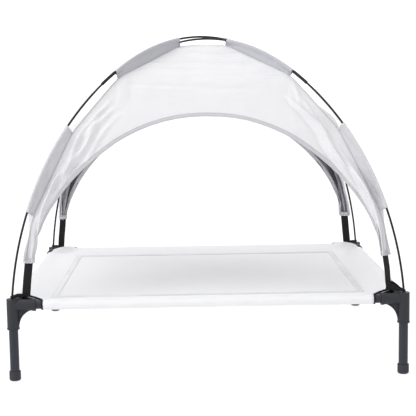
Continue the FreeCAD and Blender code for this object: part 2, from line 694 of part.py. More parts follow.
def build_poles(paths):
    ends = {"a": ("front_left", "rear_right"), "b": ("front_right", "rear_left")}
    for letter, (front, rear) in ends.items():
        path = paths[letter]
        export("pole_" + letter + "_top", turn_to_diagonal(top_section(path), rear))
        export("shock_cord_" + letter, turn_to_diagonal(shock_cord(path), rear))
        for end, corner in (("front", front), ("rear", rear)):
            export("pole_" + letter + "_" + end, turn_to_diagonal(end_section(path), corner))
            export("ferrule_" + letter + "_" + end, turn_to_diagonal(ferrule(path), corner))
    tip = pole_tip()
    export("pole_tips", Part.makeCompound([turn_to_diagonal(tip, corner) for corner in CORNERS]))


def build_canopy(paths):
    seam = seam_points(paths["b"])
    front_panel, front_hem = canopy_side(SHARE_Y, SHARE_X, seam)
    right_panel, right_hem = canopy_side(SHARE_X, SHARE_Y, seam)
    for side, panel, hem, angle in (("front", front_panel, front_hem, 0),
                                    ("right", right_panel, right_hem, 90),
                                    ("rear", front_panel, front_hem, 180),
                                    ("left", right_panel, right_hem, 270)):
        for name, shape in (("canopy_panel_", panel), ("canopy_hem_", hem)):
            turned = shape.copy()
            turned.rotate(ORIGIN, UP, angle)
            export(name + side, turned)
    for corner in CORNERS:
        path = paths["a"] if corner in ("front_left", "rear_right") else paths["b"]
        for level, stretch in (("upper", UPPER_SLEEVE), ("lower", LOWER_SLEEVE)):
            sleeve = pole_sleeve(path, paths["b"], stretch)
            export("pole_sleeve_" + level + "_" + corner, turn_to_diagonal(sleeve, corner))
        export("strap_" + corner, turn_to_diagonal(strap(), corner))


def main():
    os.makedirs("parts", exist_ok=True)
    paths = {"a": PolePath(POLE_APEX_Z + POLE_D + POLE_CROSS_GAP), "b": PolePath(POLE_APEX_Z)}
    build_frame()
    build_cover()
    build_poles(paths)
    build_canopy(paths)


main()
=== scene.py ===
"""Raised dog bed with a canopy: its cloth, webbing, stitching and finishes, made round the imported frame."""
import bisect
import math
import random

import bmesh
import bpy
from mathutils import Matrix, Vector, noise


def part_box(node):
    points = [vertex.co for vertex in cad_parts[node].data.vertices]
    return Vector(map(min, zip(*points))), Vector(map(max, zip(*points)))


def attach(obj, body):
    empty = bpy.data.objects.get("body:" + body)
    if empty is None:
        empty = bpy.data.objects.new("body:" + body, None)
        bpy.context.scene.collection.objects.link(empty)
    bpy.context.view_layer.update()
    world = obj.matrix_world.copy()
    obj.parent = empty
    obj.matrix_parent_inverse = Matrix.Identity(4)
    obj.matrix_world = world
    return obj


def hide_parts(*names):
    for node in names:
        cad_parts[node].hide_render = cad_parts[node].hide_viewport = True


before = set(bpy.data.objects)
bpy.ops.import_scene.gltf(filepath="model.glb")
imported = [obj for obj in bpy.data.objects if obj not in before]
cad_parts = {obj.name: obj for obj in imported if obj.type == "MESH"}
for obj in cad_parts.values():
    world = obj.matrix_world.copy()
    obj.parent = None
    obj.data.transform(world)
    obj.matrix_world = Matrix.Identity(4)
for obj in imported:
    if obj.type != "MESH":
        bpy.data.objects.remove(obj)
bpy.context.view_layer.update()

BED = "bed_frame"
CANOPY = "canopy"
CORNERS = {"front_left": (-1, -1), "front_right": (1, -1), "rear_left": (-1, 1), "rear_right": (1, 1)}
SIDES = {"front": 0, "right": 90, "rear": 180, "left": 270}
UP = Vector((0, 0, 1))


# ================================================================ camera
CAMERA_AT = Vector((-0.02886, -2.7641, 0.6832))
CAMERA_YAW = math.radians(-0.734)
CAMERA_DOWN = math.radians(7.075)
CAMERA_ROLL = math.radians(0.855)
CAMERA_LENS = 94.0


def place_camera():
    camera = bpy.data.objects.new("camera", bpy.data.cameras.new("camera"))
    bpy.context.scene.collection.objects.link(camera)
    bpy.context.scene.camera = camera
    camera.data.lens = CAMERA_LENS
    camera.data.clip_end = 60
    level = Matrix.Rotation(CAMERA_YAW, 4, "Z") @ Matrix.Rotation(math.pi / 2 - CAMERA_DOWN, 4, "X")
    camera.matrix_world = Matrix.Translation(CAMERA_AT) @ level @ Matrix.Rotation(-CAMERA_ROLL, 4, "Z")


place_camera()


# ================================================================ sizes, from the frame
def low(node):
    return Vector(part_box(node)[0])


def high(node):
    return Vector(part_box(node)[1])


def middle(node):
    return (low(node) + high(node)) / 2


HALF_X = middle("foot_rear_right").x
HALF_Y = middle("foot_rear_right").y
HALF_DIAGONAL = math.hypot(HALF_X, HALF_Y)
SHARE_X = HALF_X / HALF_DIAGONAL
SHARE_Y = HALF_Y / HALF_DIAGONAL
FITTING_TOP = high("corner_fitting_front_left").z
RAIL_Z = middle("rail_front").z
DECK_Z = high("deck_sheet").z
DECK_X = high("deck_tape").x
DECK_Y = high("deck_tape").y
POLE_D = 0.005
APEX_Z = high("pole_b_top").z - POLE_D / 2

POLE_BEND_R = 0.100
POLE_LEAN = math.radians(6.3)
POLE_SHOULDER = math.radians(58.81)
CANOPY_TOP = APEX_Z - 0.015
UPPER_SLEEVE = (0.078, 0.290)
LOWER_SLEEVE = (0.475, 0.697)
UPPER_SLEEVE_W = 0.0125
LOWER_SLEEVE_W = 0.0175
LEG_IN = 0.034
LEG_Z = 0.268
LEG_STRIP_W = 0.021
SEAM_SETBACK = 0.022
ARCH_TOP = 0.587
ARCH_SHAPE = ((0.0, 0.0), (0.34, 0.0), (0.78, 0.415), (0.937, 0.695), (1.0, 1.0))
ARCH_ROUNDING = (0.33, 0.18, 0.07)
CLOTH_T = 0.0008
COVER_T = 0.0010
SLEEVE_D = 0.023
COVER_CUT = 0.067


# ================================================================ paths
def evenly(path, count):
    """count + 1 points at equal steps along a path of points."""
    lengths = [0.0]
    for here, there in zip(path, path[1:]):
        lengths.append(lengths[-1] + (there - here).length)
    points = []
    for step in range(count + 1):
        wanted = lengths[-1] * step / count
        index = min(max(bisect.bisect_right(lengths, wanted) - 1, 0), len(path) - 2)
        run = lengths[index + 1] - lengths[index]
        points.append(path[index].lerp(path[index + 1], (wanted - lengths[index]) / max(run, 1e-9)))
    return points


def rounded(corners, setbacks, count):
    """Equal steps along straight runs joined by curves, each starting a setback before its corner."""
    corners = [Vector(corner) for corner in corners]
    path = [corners[0]]
    for before, corner, after, setback in zip(corners, corners[1:], corners[2:], setbacks):
        start = corner + (before - corner).normalized() * setback
        end = corner + (after - corner).normalized() * setback
        for step in range(9):
            share = step / 8
            path.append(start.lerp(corner, share).lerp(corner.lerp(end, share), share))
    path.append(corners[-1])
    return evenly(path, count)


class PoleLine:
    """Axis of one half of a bent pole as (out along the diagonal, up), from its apex to its socket."""

    def __init__(self, apex_z):
        across = HALF_DIAGONAL - POLE_BEND_R * (1 - math.cos(POLE_LEAN))
        rise = apex_z - FITTING_TOP - POLE_BEND_R * math.sin(POLE_LEAN)
        shoulder = POLE_SHOULDER
        chord = math.tan((shoulder + POLE_LEAN) / 2)
        top_r = (across - chord * rise) / (math.cos(POLE_LEAN) - chord * (1 - math.sin(POLE_LEAN)))
        spare_rise = rise - top_r * (1 - math.sin(POLE_LEAN))
        side_r = top_r + spare_rise / (math.sin(shoulder) - math.sin(POLE_LEAN))
        top = Vector((0, apex_z - top_r))
        side = top - Vector((math.cos(shoulder), math.sin(shoulder))) * (side_r - top_r)
        bend = Vector((HALF_DIAGONAL - POLE_BEND_R, FITTING_TOP))
        self.arcs = ((top, top_r, math.pi / 2, shoulder), (side, side_r, shoulder, POLE_LEAN),
                     (bend, POLE_BEND_R, POLE_LEAN, 0.0))

    def at(self, distance):
        """Point on the axis and unit normal towards the inside."""
        for centre, radius, first, last in self.arcs:
            length = radius * (first - last)
            if distance <= length:
                heading = first - distance / radius
                out = Vector((math.cos(heading), math.sin(heading)))
                return centre + out * radius, -out
            distance -= length
        return Vector((HALF_DIAGONAL, FITTING_TOP)), Vector((-1, 0))


POLES = {"a": PoleLine(APEX_Z + POLE_D + 0.0002), "b": PoleLine(APEX_Z)}


def pole_of(corner):
    return POLES["a"] if corner in ("front_left", "rear_right") else POLES["b"]


def on_diagonal(corner, out, up, beside=0.0):
    """Point over a corner's diagonal: out from the middle, up, and beside it anticlockwise from above."""
    sign_x, sign_y = CORNERS[corner]
    along = Vector((sign_x * SHARE_X, sign_y * SHARE_Y, 0))
    return along * out + UP * up + UP.cross(along) * beside


# ================================================================ meshes
def add_object(name, mesh, body, material):
    piece = bpy.data.objects.new(name, mesh)
    bpy.context.scene.collection.objects.link(piece)
    mesh.materials.clear()
    mesh.materials.append(material)
    mesh.shade_smooth()
    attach(piece, body)
    return piece


def mesh_of(name, points, faces, uvs=None):
    """Mesh from its points and faces, with an optional UV map in metres."""
    mesh = bpy.data.meshes.new(name)
    mesh.from_pydata([tuple(point) for point in points], [], faces)
    if uvs:
        layer = mesh.uv_layers.new(name="cloth")
        for loop in mesh.loops:
            layer.data[loop.index].uv = uvs[loop.vertex_index]
    return mesh


def tidy(mesh, merge=1e-5, outward=True):
    shape = bmesh.new()
    shape.from_mesh(mesh)
    bmesh.ops.remove_doubles(shape, verts=shape.verts, dist=merge)
    if outward:
        bmesh.ops.recalc_face_normals(shape, faces=shape.faces)
    shape.to_mesh(mesh)
    shape.free()
    return mesh


def grid_faces(rows, columns, start=0, wrap=False):
    """Quads of a grid of rows by columns of points; wrap joins the last column to the first."""
    faces = []
    for row in range(rows - 1):
        for column in range(columns if wrap else columns - 1):
            after = (column + 1) % columns
            first = start + row * columns
            faces.append((first + column, first + after, first + columns + after, first + columns + column))
    return faces


def thicken(piece, thickness, inside=0, even=True):
    """Give a sheet its thickness, inwards; inside is the step to the material of its inner face."""
    solid = piece.modifiers.new("thickness", "SOLIDIFY")
    solid.thickness = thickness
    solid.offset = -1.0
    solid.use_even_offset = even
    solid.use_quality_normals = True
    solid.material_offset = inside
    return solid


def flat_section(width, thickness, columns=8):
    """Outline of a flat band with rounded edges: (across, out) pairs."""
    half = width / 2 - thickness / 2
    top = [(half - 2 * half * step / columns, thickness / 2) for step in range(columns + 1)]
    left = [(-half - thickness / 2 * math.sin(angle), thickness / 2 * math.cos(angle))
            for angle in (math.radians(45), math.radians(90), math.radians(135))]
    outline = top + left
    return outline + [(-across, -out) for across, out in outline]


def band_mesh(name, path, outs, width, thickness, widths=None, closed=False, offset=0.0):
    """Flat band of webbing, tape or hem along a path; outs are the directions its face looks."""
    section = flat_section(width, thickness)
    points, uvs, run = [], [], 0.0
    count = len(path)
    for index, (point, out) in enumerate(zip(path, outs)):
        if closed:
            along = path[(index + 1) % count] - path[index - 1]
        else:
            along = path[min(index + 1, count - 1)] - path[max(index - 1, 0)]
        along.normalize()
        out = (out - along * out.dot(along)).normalized()
        across = along.cross(out)
        scale = widths[index] if widths else 1.0
        if index:
            run += (point - path[index - 1]).length
        for sideways, lift in section:
            points.append(point + across * sideways * scale + out * (lift + offset))
            uvs.append((run, sideways))
    columns = len(section)
    faces = grid_faces(count, columns, wrap=True)
    if closed:
        last = (count - 1) * columns
        faces += [(last + c, last + (c + 1) % columns, (c + 1) % columns, c) for c in range(columns)]
    else:
        faces.append(tuple(range(columns))[::-1])
        faces.append(tuple(range((count - 1) * columns, count * columns)))
    return mesh_of(name, points, faces, uvs)


def join_meshes(name, meshes):
    shape = bmesh.new()
    for mesh in meshes:
        shape.from_mesh(mesh)
    whole = bpy.data.meshes.new(name)
    shape.to_mesh(whole)
    shape.free()
    for mesh in meshes:
        bpy.data.meshes.remove(mesh)
    return whole


# ================================================================ shared effects
def new_group(name, inputs, outputs):
    """Shader node group with named value or vector inputs; returns it with its input and output nodes."""
    group = bpy.data.node_groups.new(name, "ShaderNodeTree")
    for label, kind, value in inputs:
        socket = group.interface.new_socket(label, in_out="INPUT", socket_type="NodeSocket" + kind)
        if value is not None:
            socket.default_value = value
    for label in outputs:
        group.interface.new_socket(label, in_out="OUTPUT", socket_type="NodeSocketFloat")
    return group, group.nodes.new("NodeGroupInput"), group.nodes.new("NodeGroupOutput")


def math_node(tree, operation, first, second=None, third=None):
    """Math node fed by sockets or numbers; returns its output socket."""
    node = tree.nodes.new("ShaderNodeMath")
    node.operation = operation
    for socket, value in zip(node.inputs, (first, second, third)):
        if isinstance(value, (int, float)):
            socket.default_value = value
        elif value is not None:
            tree.links.new(value, socket)
    return node.outputs[0]


def noise_node(tree, vector, scale, detail=3.0, rough=0.55):
    node = tree.nodes.new("ShaderNodeTexNoise")
    node.inputs["Scale"].default_value = scale
    node.inputs["Detail"].default_value = detail
    node.inputs["Roughness"].default_value = rough
    if vector is not None:
        tree.links.new(vector, node.inputs["Vector"])
    return node.outputs["Fac"]


def weave_group():
    """Plain weave: rounded threads that pass over and under each other, with uneven yarn."""
    group, given, result = new_group(
        "plain_weave", (("Place", "Vector", None), ("Warp per metre", "Float", 1500.0),
                        ("Weft per metre", "Float", 1500.0), ("Unevenness", "Float", 0.3)),
        ("Height", "Gaps"))
    split = group.nodes.new("ShaderNodeSeparateXYZ")
    group.links.new(given.outputs["Place"], split.inputs[0])
    wander = math_node(group, "MULTIPLY", noise_node(group, given.outputs["Place"], 60.0),
                       given.outputs["Unevenness"])
    warp = math_node(group, "MULTIPLY_ADD", split.outputs[0], given.outputs["Warp per metre"], wander)
    weft = math_node(group, "MULTIPLY_ADD", split.outputs[1], given.outputs["Weft per metre"], wander)
    warp_round, weft_round = [
        math_node(group, "ABSOLUTE", math_node(group, "SINE", math_node(group, "MULTIPLY", threads, math.pi)))
        for threads in (warp, weft)]
    count = math_node(group, "ADD", math_node(group, "FLOOR", warp), math_node(group, "FLOOR", weft))
    over = math_node(group, "MODULO", math_node(group, "ABSOLUTE", count), 2.0)
    kept = math_node(group, "MULTIPLY", warp_round, over)
    crossed = math_node(group, "MULTIPLY", weft_round, math_node(group, "SUBTRACT", 1.0, over))
    height = math_node(group, "ADD", kept, crossed)
    group.links.new(height, result.inputs["Height"])
    gaps = math_node(group, "MULTIPLY", warp_round, weft_round)
    group.links.new(math_node(group, "LESS_THAN", gaps, 0.12), result.inputs["Gaps"])
    return group


def mottle_group():
    """Slow changes over a surface: cloth that took its dye or coating unevenly, and handling marks."""
    group, given, result = new_group(
        "mottle", (("Place", "Vector", None), ("Size per metre", "Float", 9.0), ("Low", "Float", 0.9),
                   ("High", "Float", 1.0)), ("Shade",))
    broad = noise_node(group, given.outputs["Place"], 6.0, 4.0)
    scaled = group.nodes.new("ShaderNodeVectorMath")
    scaled.operation = "SCALE"
    group.links.new(given.outputs["Place"], scaled.inputs[0])
    group.links.new(given.outputs["Size per metre"], scaled.inputs["Scale"])
    fine = noise_node(group, scaled.outputs[0], 4.0, 5.0, 0.6)
    both = math_node(group, "MULTIPLY_ADD", broad, 0.5, math_node(group, "MULTIPLY", fine, 0.5))
    remap = group.nodes.new("ShaderNodeMapRange")
    remap.inputs["From Min"].default_value = 0.35
    remap.inputs["From Max"].default_value = 0.65
    group.links.new(both, remap.inputs["Value"])
    group.links.new(given.outputs["Low"], remap.inputs["To Min"])
    group.links.new(given.outputs["High"], remap.inputs["To Max"])
    group.links.new(remap.outputs[0], result.inputs["Shade"])
    return group


def grain_group():
    """Moulded or sprayed grain: small rounded bumps of uneven height."""
    group, given, result = new_group(
        "fine_grain", (("Place", "Vector", None), ("Grains per metre", "Float", 1200.0)), ("Height",))
    scaled = group.nodes.new("ShaderNodeVectorMath")
    scaled.operation = "SCALE"
    group.links.new(given.outputs["Place"], scaled.inputs[0])
    group.links.new(given.outputs["Grains per metre"], scaled.inputs["Scale"])
    cells = group.nodes.new("ShaderNodeTexVoronoi")
    cells.inputs["Scale"].default_value = 1.0
    group.links.new(scaled.outputs[0], cells.inputs["Vector"])
    soft = noise_node(group, scaled.outputs[0], 0.4, 4.0)
    group.links.new(math_node(group, "MULTIPLY_ADD", cells.outputs["Distance"], 0.5, soft),
                    result.inputs["Height"])
    return group


def wear_group():
    """Rubbed places: scattered patches where handling polished or scuffed the surface."""
    group, given, result = new_group(
        "rubbed", (("Place", "Vector", None), ("Patches per metre", "Float", 40.0),
                   ("Spread", "Float", 0.62)), ("Mask",))
    scaled = group.nodes.new("ShaderNodeVectorMath")
    scaled.operation = "SCALE"
    group.links.new(given.outputs["Place"], scaled.inputs[0])
    group.links.new(given.outputs["Patches per metre"], scaled.inputs["Scale"])
    patches = noise_node(group, scaled.outputs[0], 1.0, 6.0, 0.7)
    remap = group.nodes.new("ShaderNodeMapRange")
    remap.inputs["From Max"].default_value = 0.85
    group.links.new(given.outputs["Spread"], remap.inputs["From Min"])
    group.links.new(patches, remap.inputs["Value"])
    group.links.new(remap.outputs[0], result.inputs["Mask"])
    return group


def crease_group():
    """Long level creases, as in thin cloth that was folded and then pulled sideways."""
    group, given, result = new_group(
        "level_creases", (("Place", "Vector", None), ("Across", "Vector", (5.0, 5.0, 44.0))), ("Height",))
    stretched = group.nodes.new("ShaderNodeVectorMath")
    stretched.operation = "MULTIPLY"
    group.links.new(given.outputs["Place"], stretched.inputs[0])
    group.links.new(given.outputs["Across"], stretched.inputs[1])
    streaks = noise_node(group, stretched.outputs[0], 1.0, 3.0, 0.5)
    ridged = math_node(group, "ABSOLUTE", math_node(group, "SUBTRACT", streaks, 0.5))
    where = noise_node(group, given.outputs["Place"], 5.0, 2.0)
    shown = math_node(group, "MULTIPLY", math_node(group, "SUBTRACT", where, 0.35), 3.0)
    shown = math_node(group, "MINIMUM", math_node(group, "MAXIMUM", shown, 0.0), 1.0)
    group.links.new(math_node(group, "MULTIPLY", math_node(group, "MULTIPLY", ridged, -2.0), shown),
                    result.inputs["Height"])
    return group


WEAVE = weave_group()
MOTTLE = mottle_group()
GRAIN = grain_group()
RUBBED = wear_group()
CREASES = crease_group()


# ================================================================ finishes
class Finish:
    """One material: a Principled shader with colour, roughness and relief from the shared effects."""

    def __init__(self, name, roughness, metallic=0.0):
        self.material = bpy.data.materials.new(name)
        self.material.use_nodes = True
        self.tree = self.material.node_tree
        self.shader = self.tree.nodes["Principled BSDF"]
        self.shader.inputs["Roughness"].default_value = roughness
        self.shader.inputs["Metallic"].default_value = metallic
        self.place = self.tree.nodes.new("ShaderNodeTexCoord").outputs["Object"]
        self.normal = None

    def on_cloth(self):
        uv = self.tree.nodes.new("ShaderNodeUVMap")
        uv.uv_map = "cloth"
        return uv.outputs["UV"]

    def effect(self, group, place=None, **values):
        node = self.tree.nodes.new("ShaderNodeGroup")
        node.node_tree = group
        self.tree.links.new(place or self.place, node.inputs["Place"])
        for label, value in values.items():
            node.inputs[label.replace("_", " ")].default_value = value
        return node

    def mix(self, factor, dark, light):
        """Colour between dark and light by a factor socket."""
        node = self.tree.nodes.new("ShaderNodeMix")
        node.data_type = "RGBA"
        self.tree.links.new(factor, node.inputs[0])
        for socket, value in ((node.inputs[6], dark), (node.inputs[7], light)):
            if hasattr(value, "is_linked"):
                self.tree.links.new(value, socket)
            else:
                socket.default_value = (*value, 1)
        return node.outputs[2]

    def colour(self, socket):
        self.tree.links.new(socket, self.shader.inputs["Base Color"])

    def roughen(self, factor, low_value, high_value):
        node = self.tree.nodes.new("ShaderNodeMapRange")
        node.inputs["To Min"].default_value = low_value
        node.inputs["To Max"].default_value = high_value
        self.tree.links.new(factor, node.inputs["Value"])
        self.tree.links.new(node.outputs[0], self.shader.inputs["Roughness"])

    def bump(self, height, distance, strength=1.0):
        node = self.tree.nodes.new("ShaderNodeBump")
        node.inputs["Distance"].default_value = distance
        node.inputs["Strength"].default_value = strength
        self.tree.links.new(height, node.inputs["Height"])
        if self.normal is not None:
            self.tree.links.new(self.normal, node.inputs["Normal"])
        self.normal = node.outputs[0]
        self.tree.links.new(self.normal, self.shader.inputs["Normal"])


def shaded(colour, factor):
    return tuple(channel * factor for channel in colour)


def cloth_finish(name, colour, threads, thread_depth, roughness=0.8, sheen=0.15, contrast=0.94, gaps=0.0,
                 level=0.0):
    """Woven cloth: threads in relief, uneven yarn, slow shading and small creases, with painted shade in the
    weave's low parts, in a mesh's gaps and, where level is given, in the valleys of folds.
    """
    finish = Finish(name, roughness)
    finish.shader.inputs["Sheen Weight"].default_value = sheen
    finish.shader.inputs["Sheen Roughness"].default_value = 0.5
    weave = finish.effect(WEAVE, finish.on_cloth(), Warp_per_metre=threads[0], Weft_per_metre=threads[1])
    mottle = finish.effect(MOTTLE, Low=0.0, High=1.0)
    base = finish.mix(mottle.outputs["Shade"], shaded(colour, contrast), colour)
    # Painted shade: the weave's low parts are coloured darker, down to 0.86 of the colour, and a mesh's open
    # gaps darker still.
    threads_shade = finish.mix(weave.outputs["Height"], shaded(colour, 0.86), base)
    if gaps:
        threads_shade = finish.mix(weave.outputs["Gaps"], threads_shade, shaded(colour, 1 - gaps))
    # Painted shade: where level is given, the valleys of the canopy's folds, from the fold heights stored on
    # the mesh, are coloured down to 0.68 of the cloth.
    if level:
        crease = finish.tree.nodes.new("ShaderNodeAttribute")
        crease.attribute_name = "crease"
        depth = finish.tree.nodes.new("ShaderNodeMapRange")
        depth.inputs["From Min"].default_value = -0.0026
        depth.inputs["From Max"].default_value = 0.0002
        finish.tree.links.new(crease.outputs["Fac"], depth.inputs["Value"])
        threads_shade = finish.mix(depth.outputs[0], shaded(colour, 0.68), threads_shade)
    finish.colour(threads_shade)
    finish.roughen(mottle.outputs["Shade"], roughness - 0.08, roughness + 0.06)
    finish.bump(noise_node(finish.tree, finish.place, 22.0, 5.0, 0.6), 0.0012, 0.35)
    if level:
        finish.bump(finish.effect(CREASES).outputs["Height"], level, 0.6)
    finish.bump(weave.outputs["Height"], thread_depth)
    return finish.material


def webbing_finish(name, colour, ribs, depth=0.0004):
    """Heavy webbing or tape: ribs across it, finer threads along it, and uneven tone."""
    finish = Finish(name, 0.72)
    finish.shader.inputs["Specular IOR Level"].default_value = 0.3
    weave = finish.effect(WEAVE, finish.on_cloth(), Warp_per_metre=ribs, Weft_per_metre=ribs * 0.6)
    mottle = finish.effect(MOTTLE, Low=0.0, High=1.0, Size_per_metre=30.0)
    base = finish.mix(mottle.outputs["Shade"], shaded(colour, 0.8), shaded(colour, 1.15))
    # Painted shade: the low parts between the ribs are coloured darker, down to 0.55 of the colour.
    finish.colour(finish.mix(weave.outputs["Height"], shaded(colour, 0.55), base))
    finish.roughen(mottle.outputs["Shade"], 0.62, 0.82)
    finish.bump(weave.outputs["Height"], depth)
    return finish.material


def plastic_finish(name, colour, worn, grains, depth, rough=(0.42, 0.58)):
    """Moulded plastic, rubber or paint: fine grain, slow shading and scuffs."""
    finish = Finish(name, rough[0])
    finish.shader.inputs["Specular IOR Level"].default_value = 0.3
    grain = finish.effect(GRAIN, Grains_per_metre=grains)
    mottle = finish.effect(MOTTLE, Low=0.0, High=1.0, Size_per_metre=14.0)
    rubbed = finish.effect(RUBBED)
    base = finish.mix(mottle.outputs["Shade"], shaded(colour, 0.86), colour)
    finish.colour(finish.mix(rubbed.outputs["Mask"], base, worn))
    finish.roughen(mottle.outputs["Shade"], *rough)
    finish.bump(grain.outputs["Height"], depth)
    return finish.material


def metal_finish(name, colour):
    finish = Finish(name, 0.35, 1.0)
    mottle = finish.effect(MOTTLE, Low=0.0, High=1.0, Size_per_metre=60.0)
    finish.colour(finish.mix(mottle.outputs["Shade"], shaded(colour, 0.8), colour))
    finish.roughen(mottle.outputs["Shade"], 0.25, 0.45)
    turned = noise_node(finish.tree, finish.place, 900.0, 2.0)
    finish.bump(turned, 0.00005)
    return finish.material


CANOPY_CLOTH = cloth_finish("canopy cloth", (0.78, 0.78, 0.80), (1900, 1900), 0.00012, 0.62, 0.1,
                            level=0.0035)
# Inner face of the canopy: dark grey, partly a darker coated side and partly painted shade, so the insides of
# the rear legs look shaded.
CANOPY_LINING_AND_SHADE = cloth_finish("canopy lining and painted shade", (0.22, 0.22, 0.24), (1900, 1900), 0.00012, 0.55, 0.1)
# Hem and ridge piping: the canopy's own cloth doubled, coloured darker than the canopy cloth as painted shade
# along the turned edges and seams.
CANOPY_HEM_PAINTED_SHADE = cloth_finish("canopy hem painted shade", (0.56, 0.56, 0.59), (1900, 1900), 0.00012, 0.65, 0.1)
CUFF_CLOTH = cloth_finish("leg cuff", (0.72, 0.72, 0.75), (1500, 900), 0.0003, 0.6, 0.1, 0.8)
SLEEVE_CLOTH = {
    "upper": cloth_finish("upper sleeve cloth", (0.50, 0.50, 0.543), (1700, 1700), 0.00014, 0.65, 0.1),
    "lower": cloth_finish("lower sleeve cloth", (0.63, 0.63, 0.663), (1700, 1700), 0.00014, 0.65, 0.1)}
# The deck mesh's open gaps are coloured darker, painted shade seen through them.
DECK_MESH = cloth_finish("deck mesh", (0.96, 0.96, 0.985), (760, 620), 0.0003, 0.6, 0.05, 0.95, 0.2)
WHITE_TAPE = webbing_finish("white tape", (0.97, 0.97, 0.975), 900.0, 0.0002)
BLACK_BINDING = webbing_finish("black binding", (0.008, 0.008, 0.009), 1100.0, 0.0002)
WEBBING = webbing_finish("black webbing", (0.0095, 0.0095, 0.0115), 620.0)
THREAD = webbing_finish("white thread", (0.86, 0.86, 0.88), 2500.0, 0.0001)
# Grey thread for the canopy's stitches, dark enough that its rows also draw the seam shadow along hems and
# sleeves as painted shadow.
GREY_THREAD_SEAM_SHADOW = webbing_finish("grey thread and painted seam shadow", (0.34, 0.34, 0.36), 2500.0, 0.0001)
FITTING_PLASTIC = plastic_finish("fitting plastic", (0.026, 0.027, 0.033), (0.06, 0.062, 0.07), 1500, 0.00012)
LEG_PAINT = plastic_finish("leg paint", (0.026, 0.029, 0.041), (0.07, 0.07, 0.085), 2400, 0.00005,
                           (0.30, 0.42))
FOOT_RUBBER = plastic_finish("foot rubber", (0.036, 0.037, 0.046), (0.08, 0.08, 0.09), 900, 0.00015,
                             (0.60, 0.8))
POLE_BLACK = plastic_finish("pole fibreglass", (0.004, 0.004, 0.0045), (0.012, 0.012, 0.012), 3000, 0.00002,
                            (0.35, 0.5))
FERRULE_BLACK = plastic_finish("ferrule paint", (0.006, 0.006, 0.007), (0.03, 0.03, 0.032), 2600, 0.00003,
                               (0.3, 0.45))
TIP_METAL = metal_finish("tip metal", (0.62, 0.62, 0.64))
ELASTIC = webbing_finish("elastic cord", (0.7, 0.7, 0.7), 1500.0, 0.0001)


def finish_frame():
    """The frame's own parts keep their shapes and take the finishes of this script."""
    finishes = {"corner_fitting": FITTING_PLASTIC, "leg_tube": LEG_PAINT, "foot": FOOT_RUBBER,
                "rail": LEG_PAINT, "pole_a": POLE_BLACK, "pole_b": POLE_BLACK, "ferrule": FERRULE_BLACK,
                "shock_cord": ELASTIC, "pole_tips": TIP_METAL}
    for name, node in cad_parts.items():
        starts = [start for start in finishes if name.startswith(start)]
        if starts:
            chosen = finishes[max(starts, key=len)]
            for index in range(max(1, len(node.data.materials))):
                if len(node.data.materials) <= index:
                    node.data.materials.append(chosen)
                node.data.materials[index] = chosen


finish_frame()


# ================================================================ canopy cloth
def seam_corners():
    """Corners of the ridge seam as (out, up), from the crown down to a leg's end."""
    corners = [(0.0, CANOPY_TOP)]
    for stretch, width in ((UPPER_SLEEVE, UPPER_SLEEVE_W), (LOWER_SLEEVE, LOWER_SLEEVE_W)):
        for distance in stretch:
            on_pole, inward = POLES["b"].at(distance)
            corners.append(tuple(on_pole + inward * width))
    return corners + [(HALF_DIAGONAL - LEG_IN, LEG_Z)]


SEAM = rounded(seam_corners(), [SEAM_SETBACK] * 4, 400)
SEAM_LENGTH = sum((there - here).length for here, there in zip(SEAM, SEAM[1:]))
SEAM_HEIGHTS = [-point.y for point in SEAM]
LEG_OUT = HALF_DIAGONAL - LEG_IN


def seam_at(share):
    """Point of the ridge seam, as (out, up), at a share of its length from the crown."""
    place = min(max(share, 0.0), 1.0) * (len(SEAM) - 1)
    index = min(int(place), len(SEAM) - 2)
    return SEAM[index].lerp(SEAM[index + 1], place - index)


def seam_share(height):
    index = min(max(bisect.bisect_left(SEAM_HEIGHTS, -height), 1), len(SEAM) - 1)
    span = SEAM_HEIGHTS[index] - SEAM_HEIGHTS[index - 1]
    part = (-height - SEAM_HEIGHTS[index - 1]) / max(span, 1e-9)
    return (index - 1 + min(max(part, 0.0), 1.0)) / (len(SEAM) - 1)


def smooth(start, end, value):
    """Eased share of the way from a start to an end, which may be the lower one."""
    part = min(max((value - start) / (end - start), 0.0), 1.0)
    return part * part * (3 - 2 * part)


class Fold:
    """Soft crease between two places of a half panel, in metres across and down the ridge."""

    def __init__(self, start, end, width, height):
        self.start = Vector(start)
        self.run = Vector(end) - self.start
        self.width = width
        self.height = height

    def lift(self, place):
        along = (place - self.start).dot(self.run) / self.run.length_squared
        if not 0 < along < 1:
            return 0.0
        off = (place - self.start - self.run * along)
        beside = math.copysign(off.length, off.cross(self.run)) / self.width
        return self.height * math.sin(math.pi * along) * (1 - 1.4 * beside) * math.exp(-beside * beside)


def half_panel_folds(chance, strength):
    """Creases from the sleeves' ends down the leg, as distance in from the ridge and down it."""
    folds = []
    for down, count, reach, first_in, last_in in (
            (0.27, 2, 0.10, (0.005, 0.03), (0.04, 0.07)), (0.36, 5, 0.18, (0.02, 0.08), (0.02, 0.07)),
            (0.46, 6, 0.17, (0.012, 0.06), (0.010, 0.04)), (0.57, 6, 0.15, (0.006, 0.036), (0.006, 0.024))):
        for _ in range(count):
            begin = (chance.uniform(*first_in), down + chance.uniform(-0.03, 0.03))
            end = (chance.uniform(*last_in), begin[1] + reach * chance.uniform(0.7, 1.1))
            width = chance.uniform(0.0050, 0.0095)
            height = chance.uniform(0.0010, 0.0026) * strength * (0.6 if down < 0.3 else 1.0)
            folds.append(Fold(begin, end, width, height))
    return folds


